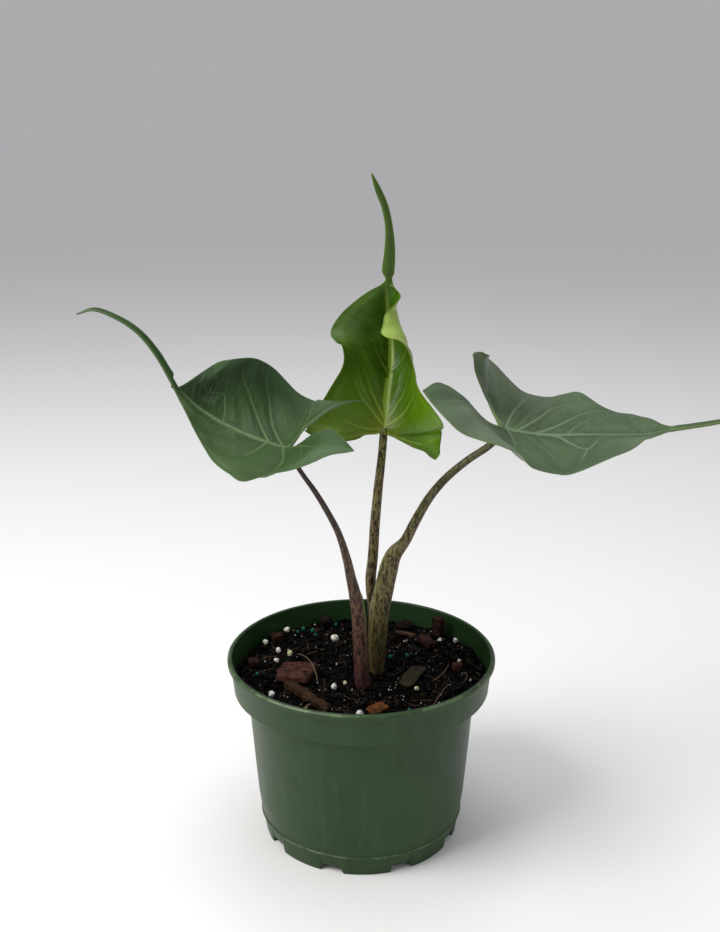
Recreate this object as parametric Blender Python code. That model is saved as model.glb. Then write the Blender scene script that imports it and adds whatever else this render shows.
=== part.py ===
"""Potted alocasia: a nursery pot, its growing mix and a young plant with three long-tailed leaves.

Sizes are in millimetres and become metres when each mesh is made. +Z is up, the pot's axis is
the Z axis and -Y is the front. The pot stands on z = 0. Heights of the plant are counted from
the level of the growing mix.
"""

import math

import bmesh
import bpy
import numpy as np

for old in list(bpy.data.objects):
    bpy.data.objects.remove(old, do_unlink=True)

# ---------------------------------------------------------------- main sizes
POT_D = 152.0  # across the rim bead: a 6 inch azalea pot
POT_H = 108.0
WALL = 1.2
BEAD = 1.6  # how far the rim's rolled bead stands out of the band
BAND_H = 19.4  # the band under the rim, from the pot's top
BAND_LEAN = 3.0  # the band's lower edge is this much further in than the bead
LEDGE_W = 8.0  # step from the band's lower edge in to the body
BODY_TAPER = 6.2  # how much narrower the body is at the foot line than at its top
FOOT_H = 12.0  # up to the fine raised line round the foot
FOOT_LINE = 2.3  # how far that line stands out of the foot
FLOOR_UP = 5.0  # clear height under the floor
FLOOR_T = 1.5
NOTCHES = 9
NOTCH_W = 12.0
NOTCH_H = 4.2
FIRST_NOTCH = -67.0  # degrees from +X
PAD_R = 11.0  # flat pad in the middle of the underside
HEADSPACE = 12.5  # from the rim down to the mix
BLADE_T = 0.8
MIDRIB = 1.6  # how far the midrib stands below the blade at its start
GAP = 0.35  # between neighbouring solids
CORM_R = 11.0
CORM_H = 22.0
CORM_XY = (5.0, -7.0)
BURIED = 13.1  # how deep the petioles go into the mix

MM = 0.001
RIM_R = POT_D / 2
BAND_Z = POT_H - BAND_H
BAND_R = RIM_R - BAND_LEAN
BODY_R = BAND_R - LEDGE_W
LINE_R = BODY_R - BODY_TAPER
FOOT_R = LINE_R - FOOT_LINE
FLOOR_Z = FLOOR_UP + FLOOR_T
SOIL_Z = POT_H - HEADSPACE
SOIL_R = BAND_R - WALL - GAP - 0.4

root = bpy.data.objects.new("potted_alocasia", None)
bpy.context.scene.collection.objects.link(root)


# ---------------------------------------------------------------- helpers
def material(name, color, roughness, metallic=0.0):
    mat = bpy.data.materials.new(name)
    mat.use_nodes = True
    shader = mat.node_tree.nodes["Principled BSDF"]
    shader.inputs["Base Color"].default_value = (*color, 1.0)
    shader.inputs["Roughness"].default_value = roughness
    shader.inputs["Metallic"].default_value = metallic
    mat.diffuse_color = (*color, 1.0)
    return mat


def make(name, points, faces, mat=None, at=(0.0, 0.0, 0.0)):
    """A mesh object from points in millimetres, its origin at the point `at`. A cutter has no material."""
    mesh = bpy.data.meshes.new(name)
    points = (np.array(points, float) * MM).tolist()
    mesh.from_pydata(points, [], [[int(i) for i in f] for f in faces])
    work = bmesh.new()
    work.from_mesh(mesh)
    bmesh.ops.remove_doubles(work, verts=work.verts, dist=1e-6)
    bmesh.ops.recalc_face_normals(work, faces=work.faces)
    work.to_mesh(mesh)
    work.free()
    obj = bpy.data.objects.new(name, mesh)
    obj.location = [c * MM for c in at]
    bpy.context.scene.collection.objects.link(obj)
    if mat:
        mesh.materials.append(mat)
        mesh.shade_smooth()
        mesh.set_sharp_from_angle(angle=math.radians(40))
        obj.parent = root
    return obj


def cut(obj, cutter):
    """obj minus cutter, applied; the cutter is removed."""
    mod = obj.modifiers.new("cut", "BOOLEAN")
    mod.operation = "DIFFERENCE"
    mod.solver = "EXACT"
    mod.object = cutter
    bpy.context.view_layer.update()
    mesh = bpy.data.meshes.new_from_object(obj.evaluated_get(bpy.context.evaluated_depsgraph_get()))
    obj.modifiers.clear()
    obj.data = mesh
    bpy.data.objects.remove(cutter, do_unlink=True)
    work = bmesh.new()
    work.from_mesh(mesh)
    bmesh.ops.remove_doubles(work, verts=work.verts, dist=2e-6)
    work.to_mesh(mesh)
    work.free()


def rings(rows):
    """Points and faces for a stack of equal rings of points; each end is closed with one face."""
    n, last = len(rows[0]), len(rows) - 1
    points = [p for row in rows for p in row]
    faces = []
    for i in range(last):
        for j in range(n):
            k = (j + 1) % n
            faces.append((i * n + j, i * n + k, (i + 1) * n + k, (i + 1) * n + j))
    faces.append(tuple(reversed(range(n))))
    faces.append(tuple(last * n + j for j in range(n)))
    return points, faces


def turned(name, profile, steps, mat=None, at=(0.0, 0.0, 0.0)):
    """A solid turned round Z from a closed (r, z) profile; points with r = 0 lie on the axis."""
    n = len(profile)
    points = []
    for i in range(steps):
        a = 2 * math.pi * i / steps
        points += [(r * math.cos(a), r * math.sin(a), z) for r, z in profile]
    faces = []
    for i in range(steps):
        k = (i + 1) % steps
        for j in range(n):
            m = (j + 1) % n
            face = [i * n + j, k * n + j, k * n + m, i * n + m]
            if profile[j][0] == 0 and profile[m][0] == 0:
                continue
            if profile[j][0] == 0:
                face.pop(1)
            if profile[m][0] == 0:
                face.pop(2)
            faces.append(face)
    return make(name, points, faces, mat, at)


def unit(v):
    v = np.asarray(v, float)
    return v / np.linalg.norm(v, axis=-1, keepdims=True)


def hermite(u, h, p0, p1, m0, m1):
    """Cubic between p0 and p1 with slopes m0 and m1, over a span h, read at the share u."""
    ends = (2 * u**3 - 3 * u**2 + 1) * p0 + (3 * u**2 - 2 * u**3) * p1
    return ends + (u**3 - 2 * u**2 + u) * h * m0 + (u**3 - u**2) * h * m1


def eased(xs, ys, t):
    """Monotone cubic through the stations (xs, ys), read at t."""
    xs, ys = np.asarray(xs, float), np.asarray(ys, float)
    step = np.diff(xs)
    slope = np.diff(ys) / step
    m = np.zeros_like(ys)
    m[0], m[-1] = slope[0], slope[-1]
    a, b = 2 * step[1:] + step[:-1], step[1:] + 2 * step[:-1]
    both = slope[:-1] * slope[1:] > 0
    m[1:-1][both] = ((a + b)[both]) / (a[both] / slope[:-1][both] + b[both] / slope[1:][both])
    t = np.clip(t, xs[0], xs[-1])
    i = np.clip(np.searchsorted(xs, t, side="right") - 1, 0, len(xs) - 2)
    return hermite((t - xs[i]) / step[i], step[i], ys[i], ys[i + 1], m[i], m[i + 1])


def curve(points, count):
    """A smooth curve through the points as count even steps, and its whole length."""
    p = np.asarray(points, float)
    knots = np.r_[0, np.cumsum(np.sqrt(np.linalg.norm(np.diff(p, axis=0), axis=1)))]
    w = np.diff(knots)[:, None]
    d = np.diff(p, axis=0) / w
    m = np.zeros_like(p)
    m[1:-1] = (d[:-1] * w[1:] + d[1:] * w[:-1]) / (w[1:] + w[:-1])
    m[0], m[-1] = 2 * d[0] - m[1], 2 * d[-1] - m[-2]
    t = np.linspace(0, knots[-1], 600)
    i = np.clip(np.searchsorted(knots, t, side="right") - 1, 0, len(knots) - 2)
    q = hermite((t - knots[i])[:, None] / w[i], w[i], p[i], p[i + 1], m[i], m[i + 1])
    s = np.r_[0, np.cumsum(np.linalg.norm(np.diff(q, axis=0), axis=1))]
    at = np.linspace(0, s[-1], count)
    return np.stack([np.interp(at, s, q[:, k]) for k in range(3)], 1), s[-1]


# ---------------------------------------------------------------- the leaf blades
# Stations run from the tips of the two back lobes (-1) over the petiole's top (0) to the start
# of the tail (1).
WIDTH_AT = (-1, -0.93, -0.8, -0.6, -0.4, -0.2, 0, 0.15, 0.3, 0.45, 0.6, 0.75, 0.87, 0.95, 1.0)
NOTCH_AT = (-1, -0.93, -0.8, -0.6, -0.4, -0.2, 0)
TURN_AT = (-1, -0.6, -0.25, 0, 0.3, 0.6, 0.85, 1.0)
TAIL_AT = (0, 0.12, 0.3, 0.55, 0.8, 0.93, 1.0)
# Where a blade has its rows of faces, the tail included.
STATIONS = (-1, -0.93, -0.8, -0.6, -0.4, -0.25, 0, 0.2, 0.3, 0.45, 0.57, 0.8, 0.87, 0.915, 0.96, 1.0,
            1.12, 1.3, 1.5, 1.7, 1.87, 2.0)

# rib: the midrib from the petiole's top to the tail's end, z above the mix.
# body: how many of the rib's spans are blade, before the tail.
# up: the way the upper face looks.
# back: yaw and pitch (degrees), length and (sideways, up) bend of the line between the lobes.
# width and notch: from the midrib to the margin, and to the lobe's inner edge.
# rise and curl: degrees at the midrib, and turned from there to the margin.
# _l is the half to the left of someone at the petiole who looks to the tail.
LEAVES = {
    "left": dict(
        rib=[(-37, -54.5, 148), (-57, -50, 153.5), (-75, -46.5, 162), (-85, -44.5, 169.5),
             (-90, -44.5, 175.5), (-98, -43.5, 189.5), (-103.5, -42.5, 197.5), (-112, -41.5, 206),
             (-122.5, -40.5, 211.5), (-133, -40, 214), (-139, -40, 211.5)],
        body=4, up=(0, -0.42, 0.9), back=(8, 38, 36, -6, 2),
        width_l=[37, 37, 37.5, 43, 47.5, 51.5, 57.5, 54.5, 47, 38, 26.5, 16, 9, 4.5, 3],
        width_r=[38, 38, 38, 38.5, 39, 43, 51.5, 50, 49.5, 47.5, 43, 37, 30, 25.5, 4],
        notch_l=[37, 26.5, 11.5, 3, 0.5, 3.5, 0], notch_r=[38, 34, 27.5, 18.5, 11.5, 6.5, 0],
        rise_l=[0, 17, 5, 15, 3, 1, 15, 0], rise_r=[-25, -10, 0, -17, -5, 10, 14, -7],
        curl_l=[24, 8, 37, 18, 38, 39, 14, -14], curl_r=[-27, -23, -21, 12, 5, 8, 14, 19],
        tail=[3.2, 2.1, 1.9, 1.8, 1.6, 1.2, 0.4],
    ),
    "center": dict(
        rib=[(12.5, 12.5, 140), (14.5, 22.5, 158), (17, 35, 176.5), (15.5, 40.5, 193), (14, 37.5, 215.5),
             (15, 36.5, 225), (15.5, 35.5, 234.5), (15, 33.5, 246.5), (12.5, 31.5, 258.5), (8.5, 29.5, 268),
             (5.5, 28.5, 275.5)],
        body=4, up=(0, -0.97, 0.2), back=(1, -7.5, 19, 0, 6),
        width_l=[43.5, 47.5, 47, 46.5, 46, 46, 45, 38.5, 33, 35.5, 38, 35, 24, 11.5, 3],
        width_r=[29.5, 32, 34, 37.5, 39, 41, 53.5, 38.5, 34.5, 40, 35, 30, 21.5, 15.5, 4],
        notch_l=[43.5, 34, 32, 22, 14, 9, 0], notch_r=[29.5, 27, 24, 17, 11, 4.5, 0],
        rise_l=[5, 5, 5, 5, 10, 15, 5, 2], rise_r=[-9, 1.5, 7.5, 22, 28, 25, 17, -6],
        curl_l=[43, 42, 45.5, 48.5, 48.5, 38.5, 16, -12], curl_r=[36.5, 61, 63, 70, 80, 149, 164, 85],
        tail=[3.1, 3.5, 3, 2, 1.8, 1.3, 0.4],
    ),
    "right": dict(
        rib=[(75.5, -16.5, 148), (95.5, -15, 144), (117, -15.5, 144), (139, -14, 143.5), (153, -13.5, 144),
             (160.5, -16, 147), (169.5, -16, 148.5), (178.5, -15, 149.5), (189, -14, 151), (201, -13, 153),
             (215.5, -12, 155)],
        body=5, up=(0, -0.35, 0.93), back=(-3, 17, 57, -1, 16),
        width_l=[36.5, 27.5, 23, 23, 37, 72.5, 69, 60, 61, 53.5, 46, 29, 28.5, 13.5, 4],
        width_r=[35, 41, 52, 55, 57.5, 57.5, 59.5, 58, 54.5, 51, 43, 28, 16, 8, 3],
        notch_l=[36.5, 27, 18, 12, 11, 8, 0], notch_r=[35, 24.5, 16.5, 9.5, 6, 8, 0],
        rise_l=[130, 71, 20, 10, 5, 0, 5, 2], rise_r=[-5, 10, 5, 0, 0, 10, 15, 5],
        curl_l=[22, -15, -47, -25, -40, -10, -35, -36], curl_r=[-5, 0, 30, 35, 30, 30, 32, 30],
        tail=[2.8, 2.4, 2.2, 1.9, 1.6, 1.1, 0.4],
    ),
}


def leaf_line(leaf):
    """The midrib and, behind the petiole, the line between the lobes: distances, points and directions."""
    rib, whole = curve(leaf["rib"], 160)
    blade_long = curve(leaf["rib"][: leaf["body"] + 1], 60)[1]
    up = unit(leaf["up"])
    ahead = unit(rib[2] - rib[0])
    side = unit(np.cross(up, ahead))
    normal = np.cross(ahead, side)
    yaw, pitch = np.radians(leaf["back"][:2])
    length, bend_side, bend_up = leaf["back"][2:]
    level = math.cos(yaw) * ahead + math.sin(yaw) * side
    back = math.sin(pitch) * normal - math.cos(pitch) * level
    b = np.linspace(0, 1, 31)[1:, None]
    behind = rib[0] + back * b * length + (bend_side * side + bend_up * normal) * b**2
    points = np.r_[behind[::-1], rib] + (0.0, 0.0, SOIL_Z)
    at = np.r_[-b[::-1, 0] * length, np.linspace(0, whole, len(rib))]
    along = np.pad(np.gradient(points, at, axis=0), ((8, 8), (0, 0)), mode="edge")
    window = np.hanning(17) / np.hanning(17).sum()
    along = unit(np.stack([np.convolve(along[:, k], window, "valid") for k in range(3)], 1))
    side = unit(np.cross(up, along))
    frame = dict(points=points, side=side, normal=np.cross(along, side))
    return at, frame, length, blade_long, whole - blade_long


def leaf_sheet(leaf, stations, across):
    """The two half blades: points and upward directions (half, station, across, 3), and the way along."""
    line_at, frame, back_long, blade_long, tail_long = leaf_line(leaf)
    t = np.asarray(stations, float)
    at = np.where(t < 0, t * back_long, np.minimum(t, 1) * blade_long + np.maximum(t - 1, 0) * tail_long)
    read = {}
    for key, rows in frame.items():
        read[key] = np.stack([np.interp(at, line_at, rows[:, k]) for k in range(3)], -1)[:, None]
    centre, side, normal = read["points"], read["side"], read["normal"]
    body, tail = np.clip(t, -1, 1), np.clip(t - 1, 0, 1)
    share = np.linspace(0, 1, across + 1)
    grids, tops = [], []
    for which, sign in (("l", 1), ("r", -1)):
        width = eased(WIDTH_AT, leaf["width_" + which], body)
        outer = np.where(t > 1, eased(TAIL_AT, leaf["tail"], tail), width)
        inner = np.where(t < 0, eased(NOTCH_AT, leaf["notch_" + which], np.minimum(body, 0)), 0.0)
        rise = np.radians(eased(TURN_AT, leaf["rise_" + which], body))[:, None]
        curl = np.radians(eased(TURN_AT, leaf["curl_" + which], body)) / np.maximum(outer, 8.0)
        curl = np.where(np.abs(curl) < 1e-6, 1e-6, curl)[:, None]
        b = inner[:, None] + (outer - inner)[:, None] * share
        angle = rise + curl * b
        x = ((np.sin(angle) - np.sin(rise)) / curl)[..., None]
        z = ((np.cos(rise) - np.cos(angle)) / curl)[..., None]
        grids.append(centre + sign * side * x + normal * z)
        tops.append(normal * np.cos(angle)[..., None] - sign * side * np.sin(angle)[..., None])
    return np.array(grids), np.array(tops), at


def blade(name, leaf, across, mat):
    """One leaf blade as a closed sheet with a midrib that stands out below."""
    grids, tops, at = leaf_sheet(leaf, STATIONS, across)
    first = STATIONS.index(0)
    ids, points, down = {}, [], []
    for s in range(2):
        for i in range(len(STATIONS)):
            for j in range(across + 1):
                shared = j == 0 and i >= first
                if s == 1 and shared:
                    ids[s, i, j] = ids[0, i, 0]
                    continue
                ids[s, i, j] = len(points)
                top = unit(tops[0, i, 0] + tops[1, i, 0]) if shared else tops[s, i, j]
                rib = max(0.0, 1 - 1.15 * at[i] / at[-1]) * MIDRIB if shared else 0.0
                points.append(grids[s, i, j] + top * BLADE_T / 2)
                down.append(grids[s, i, j] - top * (BLADE_T / 2 + rib))
    faces = []
    for s in range(2):
        for i in range(len(STATIONS) - 1):
            for j in range(across):
                quad = [ids[s, i, j], ids[s, i + 1, j], ids[s, i + 1, j + 1], ids[s, i, j + 1]]
                faces.append(quad[::-1] if s == 0 else quad)
    n = len(points)
    edges = {(f[k], f[(k + 1) % 4]) for f in faces for k in range(4)}
    rim = sorted((b, a, a + n, b + n) for a, b in edges if (b, a) not in edges)
    under = [tuple(i + n for i in reversed(f)) for f in faces]
    return make(name, points + down, faces + rim + under, mat)


# ---------------------------------------------------------------- petioles and corm
# Rows: centre x, y, height above the mix, half width and half depth.
PETIOLES = {
    "left": [(1.2, -17, -BURIED, 4.6, 4.8), (1.2, -17, -4, 4.8, 5), (0.4, -17, 8.5, 4.4, 4.8),
             (-0.2, -17, 22.5, 4.2, 4.6), (-1, -18.8, 37, 4.1, 4.4), (-2.4, -21.3, 52, 3.8, 3.8),
             (-5.2, -24.4, 65.5, 2.8, 3), (-7.7, -27.7, 79, 2.3, 2.5), (-11.8, -32.5, 95, 1.8, 2.1),
             (-17.1, -37.1, 108, 1.6, 1.9), (-23.4, -42.2, 121, 1.4, 1.7), (-30.5, -48.3, 134, 1.2, 1.5)],
    "center": [(8.3, 3.2, -BURIED, 2.8, 2.8), (8.2, 3.2, 4.5, 2.9, 2.9), (7.8, 3, 19.5, 2.9, 2.9),
               (6.8, 3.4, 35.5, 2.9, 2.9), (5.3, 4.5, 53.5, 3, 3), (6.6, 5.6, 68.5, 2.9, 2.9),
               (7.5, 7, 85, 2.8, 2.8), (9.2, 8.6, 105, 2.6, 2.6), (11.3, 10.5, 125, 2.3, 2.3)],
    "right": [(8.8, -3.6, -BURIED, 4.2, 4.8), (8.8, -3.6, 2.5, 4.2, 5), (9.1, -3.6, 19.5, 5.2, 5.6),
              (10.1, -4.1, 38, 5.6, 5.8), (12.7, -4.8, 53, 5.5, 5.6), (14.8, -5.5, 63, 5.2, 4.8),
              (18, -6.3, 73, 4.2, 3.8), (23.9, -6.9, 81.5, 3, 3.1), (29.6, -8.2, 94, 2.7, 2.9),
              (37, -9.7, 108, 2.4, 2.6), (45.3, -11.3, 119, 2.2, 2.4), (56.3, -13.3, 129.5, 2, 2.2),
              (67.7, -15.5, 138.5, 1.9, 2)],
}
# The petiole's top: its radius, and how far it ends under the blade's lower face.
PETIOLE_TOP = {"left": (1.2, 1.6), "center": (2.1, 1.2), "right": (1.8, 2.9)}


def tube(name, rows, mat=None, sides=10, steps=17):
    """A closed tube with an oval section along rows of centre, half width and half depth."""
    rows = np.asarray(rows, float)
    centre, _ = curve(rows[:, :3], steps)
    s = np.r_[0, np.cumsum(np.linalg.norm(np.diff(rows[:, :3], axis=0), axis=1))]
    u = np.linspace(0, s[-1], steps)
    half = np.stack([eased(s, rows[:, 3], u), eased(s, rows[:, 4], u)], 1)
    along = unit(np.gradient(centre, axis=0))
    e1 = unit(np.cross((0.0, 1.0, 0.0), along))
    e2 = np.cross(along, e1)
    turns = np.arange(sides) * 2 * math.pi / sides
    stack = []
    for c, a, b, h in zip(centre, e1, e2, half):
        stack.append([c + a * h[0] * math.cos(q) + b * h[1] * math.sin(q) for q in turns])
    return make(name, *rings(stack), mat)


def petiole_rows(which, grow=0.0):
    """The petiole's rows up to its seat under the blade, in full heights; grow makes a cutter round it."""
    end = np.array(LEAVES[which]["rib"][0], float)
    rows = np.array(PETIOLES[which], float)
    tip_r, below = PETIOLE_TOP[which]
    seat = end - unit(end - rows[-1, :3]) * (below + BLADE_T / 2 + GAP)
    rows = np.vstack([rows, [*seat, tip_r, tip_r]])
    rows[:, 2] += SOIL_Z
    if grow:
        rows[0, :3] += unit(rows[0, :3] - rows[1, :3]) * grow
        rows[-1, :3] += unit(rows[-1, :3] - rows[-2, :3]) * grow
        rows[:, 3:] += grow
    return rows


def corm(name, mat=None, grow=0.0):
    """The corm under the petioles: a short round tuber with a flat top."""
    high = SOIL_Z - BURIED - GAP
    low = high - CORM_H
    shares = [(0.45, 0.04), (0.82, 0.2), (1.0, 0.5), (0.95, 0.77)]
    profile = [(0.0, low - grow), *((CORM_R * r + grow, low + CORM_H * h) for r, h in shares)]
    profile += [(CORM_R * 0.86 + grow, high + grow), (0.0, high + grow)]
    return turned(name, profile, 16, mat, at=(*CORM_XY, 0.0))


# ---------------------------------------------------------------- pot
def body_r(h):
    """Outer radius of the pot's body at height h, from the foot line up to the ledge."""
    return LINE_R + (BODY_R - LINE_R) * ((h - FOOT_H) / (BAND_Z - FOOT_H)) ** 0.85


BODY_AT = [FOOT_H + (BAND_Z - FOOT_H) * share for share in (0.36, 0.7)]


def inside(clear=0.0):
    """The pot's inner wall from the ledge down to the floor, or a line that keeps clear of it."""
    ledge = BAND_Z + WALL + clear
    profile = [(BAND_R - 0.4 - WALL - clear, ledge + 0.4), (BODY_R - WALL - clear, ledge)]
    profile += [(body_r(h) - WALL - clear, h) for h in reversed(BODY_AT)]
    foot = FOOT_R - WALL - clear
    return profile + [(foot + 2.0, FOOT_H + 1.0), (foot + 1.1, FLOOR_Z + clear)]


def pot(mat):
    r, band = RIM_R, RIM_R - BEAD
    profile = [(FOOT_R - 0.6, 0), (FOOT_R, 0.5)]
    profile += [(LINE_R - 0.5, FOOT_H - 0.8), (LINE_R, FOOT_H), (LINE_R - 0.3, FOOT_H + 0.9)]
    profile += [(body_r(h), h) for h in BODY_AT]
    profile += [(BODY_R, BAND_Z), (BAND_R - 1.4, BAND_Z), (BAND_R - 0.5, BAND_Z + 0.5)]
    profile += [(BAND_R - 0.1, BAND_Z + 1.8), (band, POT_H - 4.2), (r - 0.5, POT_H - 3.1)]
    profile += [(r, POT_H - 1.7), (r - 0.5, POT_H - 0.5), (r - 1.4, POT_H)]
    profile += [(band - WALL + 0.2, POT_H - 0.5), (band - WALL, POT_H - 2.2)]
    profile += inside()
    ring = FOOT_R - WALL - 1.1
    profile += [(0, FLOOR_Z), (0, 0), (PAD_R, 0), (PAD_R + 1, FLOOR_UP), (ring, FLOOR_UP), (ring, 0)]
    obj = turned("pot", profile, 60, mat)
    near, far, corner = ring - 5, FOOT_R + 5, 1.2
    for i in range(NOTCHES):
        a = math.radians(FIRST_NOTCH + 360 / NOTCHES * i)
        out = np.array([math.cos(a), math.sin(a), 0])
        along = np.array([-math.sin(a), math.cos(a), 0])
        rows = []
        for z, w in ((-1, NOTCH_W / 2), (NOTCH_H - corner, NOTCH_W / 2), (NOTCH_H, NOTCH_W / 2 - corner)):
            ends = [(near, -w), (far, -w), (far, w), (near, w)]
            rows.append([out * d + along * b + (0, 0, z) for d, b in ends])
        cut(obj, make("notch_cutter", *rings(rows)))
    return obj


# ---------------------------------------------------------------- growing mix and what lies on it
def ground(x, y):
    """Height of the growing mix: a gentle mound round the stems and low bumps."""
    mound = 2.2 * np.exp(-((x - 7) ** 2 + (y + 3) ** 2) / 420.0)
    low = 0.7 * np.sin(x * 0.16 + 1.3) * np.cos(y * 0.13 - 0.4)
    return SOIL_Z + mound + low + 0.45 * np.sin(x * 0.31 - y * 0.22)


def landed(soil, x, y):
    """Height at which something dropped at (x, y) meets the growing mix."""
    hit, spot, _, _ = soil.ray_cast((x * MM, y * MM, POT_H * MM), (0, 0, -1))
    return spot.z / MM if hit else ground(x, y)


def mix(mat):
    turns = np.arange(42) * 2 * math.pi / 42
    rows = []
    for r, z in reversed(inside(GAP)):
        rows.append([(r * math.cos(a), r * math.sin(a), z) for a in turns])
    for share in (1.0, 0.89, 0.76, 0.62, 0.48, 0.34, 0.2, 0.08):
        disc = [(SOIL_R * share * math.cos(a), SOIL_R * share * math.sin(a)) for a in turns]
        rows.append([(x, y, ground(x, y)) for x, y in disc])
    return make("growing_mix", *rings(rows), mat)


def turned_by(degrees, first, second):
    """The two coordinates turned by an angle, from the first towards the second."""
    c, s = math.cos(math.radians(degrees)), math.sin(math.radians(degrees))
    return first * c - second * s, first * s + second * c


def lump(name, soil, spot, size, mat, turn=0.0, tilt=0.0, seed=0, square=0.0):
    """A small closed grain, chip or clod, size (length, width, height), just above the growing mix."""
    rng = np.random.default_rng(seed)
    small = max(size) < 6
    sides = 6 if small else 8
    levels = [(-1.0, 0.6), (-0.45, 0.95), (0.35, 1.0), (1.0, 0.55)]
    if small:
        levels = [(-1.0, 0.55), (0.0, 1.0), (1.0, 0.55)]
    rows = []
    for z, r in levels:
        ring = []
        for k in range(sides):
            a = 2 * math.pi * (k + 0.5) / sides
            c, s = math.cos(a), math.sin(a)
            f = r * (1 + square * (1 / max(abs(c), abs(s)) - 1)) * (1 + rng.uniform(-0.14, 0.14))
            height = z * size[2] / 2 * (1 + rng.uniform(-0.12, 0.12))
            ring.append((c * f * size[0] / 2, s * f * size[1] / 2, height))
        rows.append(ring)
    points, faces = rings(rows)
    x, y, z = np.array(points).T
    x, z = turned_by(tilt, x, z)
    x, y = turned_by(turn, x, y)
    at_x, at_y = spot[0] * SOIL_R, spot[1] * SOIL_R
    under = [landed(soil, px + at_x, py + at_y) for px, py in zip(x, y)]
    rest = (np.array(under) - z).max() + GAP + 0.15
    return make(name, np.stack([x, y, z], 1), faces, mat, at=(at_x, at_y, rest))


def strand(name, soil, path, r, mat):
    """A thin fibre over the mix; path rows are x, y (shares of the mix's radius) and height above it."""
    rows = []
    for x, y, h in path:
        x, y = x * SOIL_R, y * SOIL_R
        rows.append((x, y, landed(soil, x, y) + h + r, r, r))
    return tube(name, rows, mat, sides=5, steps=8)


# What lies on the mix. Places are shares of the mix's radius, sizes are in mm, and chips turn
# and tilt by degrees.
PERLITE = [(-0.64, 0.70, 4.5), (-0.81, 0.46, 4), (-0.69, 0.32, 4), (-0.59, 0.25, 4), (-0.69, 0.14, 3.6),
           (-0.22, 0.52, 5.5), (-0.21, -0.36, 4), (-0.13, -0.29, 3), (-0.01, -0.78, 5), (0.67, 0.52, 3.5),
           (0.80, 0.50, 3.5), (0.43, -0.36, 3), (-0.69, -0.45, 4), (0.80, 0.13, 3)]
PRILLS = [(-0.50, 0.73, 2.8), (-0.545, 0.67, 2.2), (-0.42, 0.71, 2.8), (-0.39, 0.63, 2.4), (-0.22, 0.84, 2.4),
          (0.38, 0.22, 2.8), (0.24, 0.17, 2.6), (0.36, -0.70, 2.8), (-0.83, -0.11, 2.4)]
CHIPS = [
    ("bark_chip_1", (-0.53, -0.11), (20, 20, 4), -12, 4),
    ("bark_chip_2", (-0.71, 0.545), (7, 6, 4), 20, 0),
    ("bark_chip_3", (0.77, 0.01), (5.5, 5, 4), 15, 0),
    ("bark_chip_4", (0.56, 0.49), (16, 6, 3.5), -75, 4),
    ("bark_chip_5", (0.66, 0.63), (7, 4, 12), -45, 0),
    ("bark_chip_6", (-0.88, 0.11), (6, 7, 3), 10, 0),
    ("bark_strip_1", (-0.42, -0.5), (40, 6, 3), -51, 0),
    ("bark_strip_2", (0.38, 0.68), (13, 2.2, 1.8), -28, 0),
    ("clod_1", (-0.31, 0.85), (10, 7, 6), 15, 0),
    ("clod_2", (0.39, 0.81), (12, 8, 5), -20, 0),
    ("leaf_litter_1", (0.405, -0.17), (25, 9, 1.4), 68, 0),
    ("leaf_litter_2", (0.125, -0.68), (11, 8, 1.6), 35, 6),
]
STRANDS = [
    ("fibre_1", [(-0.53, 0.24, 1), (-0.46, 0.08, 6), (-0.39, -0.11, 7.5), (-0.335, -0.29, 1)], 0.4),
    ("fibre_2", [(0.71, 0.11, 0.5), (0.67, -0.06, 1.5), (0.56, -0.24, 0.5)], 0.4),
    ("fibre_3", [(0.825, -0.07, 1), (0.84, -0.155, 1.5), (0.80, -0.25, 0.5)], 0.35),
    ("fibre_4", [(0.685, -0.265, 0.5), (0.615, -0.43, 1.2), (0.545, -0.615, 0.5)], 0.45),
]

# ---------------------------------------------------------------- build
POT_GREEN = material("pot_green", (0.055, 0.13, 0.05), 0.42)
MIX_DARK = material("growing_mix_dark", (0.012, 0.009, 0.007), 0.95)
CORM_BROWN = material("corm_brown", (0.13, 0.07, 0.04), 0.8)
STEM = {
    "left": material("petiole_pinkish", (0.12, 0.07, 0.05), 0.5),
    "center": material("petiole_brown", (0.11, 0.08, 0.04), 0.5),
    "right": material("petiole_olive", (0.15, 0.13, 0.05), 0.5),
}
LEAF = {
    "left": material("leaf_blue_green", (0.045, 0.09, 0.035), 0.5),
    "center": material("leaf_bright_green", (0.05, 0.13, 0.01), 0.28),
    "right": material("leaf_grey_green", (0.09, 0.15, 0.08), 0.5),
}
WHITE = material("perlite_white", (0.8, 0.8, 0.76), 0.9)
TEAL = material("fertiliser_teal", (0.01, 0.2, 0.13), 0.4)
FIBRE = material("fibre_pale", (0.25, 0.17, 0.12), 0.7)
BITS = {
    "bark": material("bark_red_brown", (0.13, 0.06, 0.045), 0.85),
    "clod": material("clod_dark", (0.02, 0.014, 0.012), 0.95),
    "leaf": material("litter_olive", (0.045, 0.04, 0.02), 0.7),
}

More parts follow.
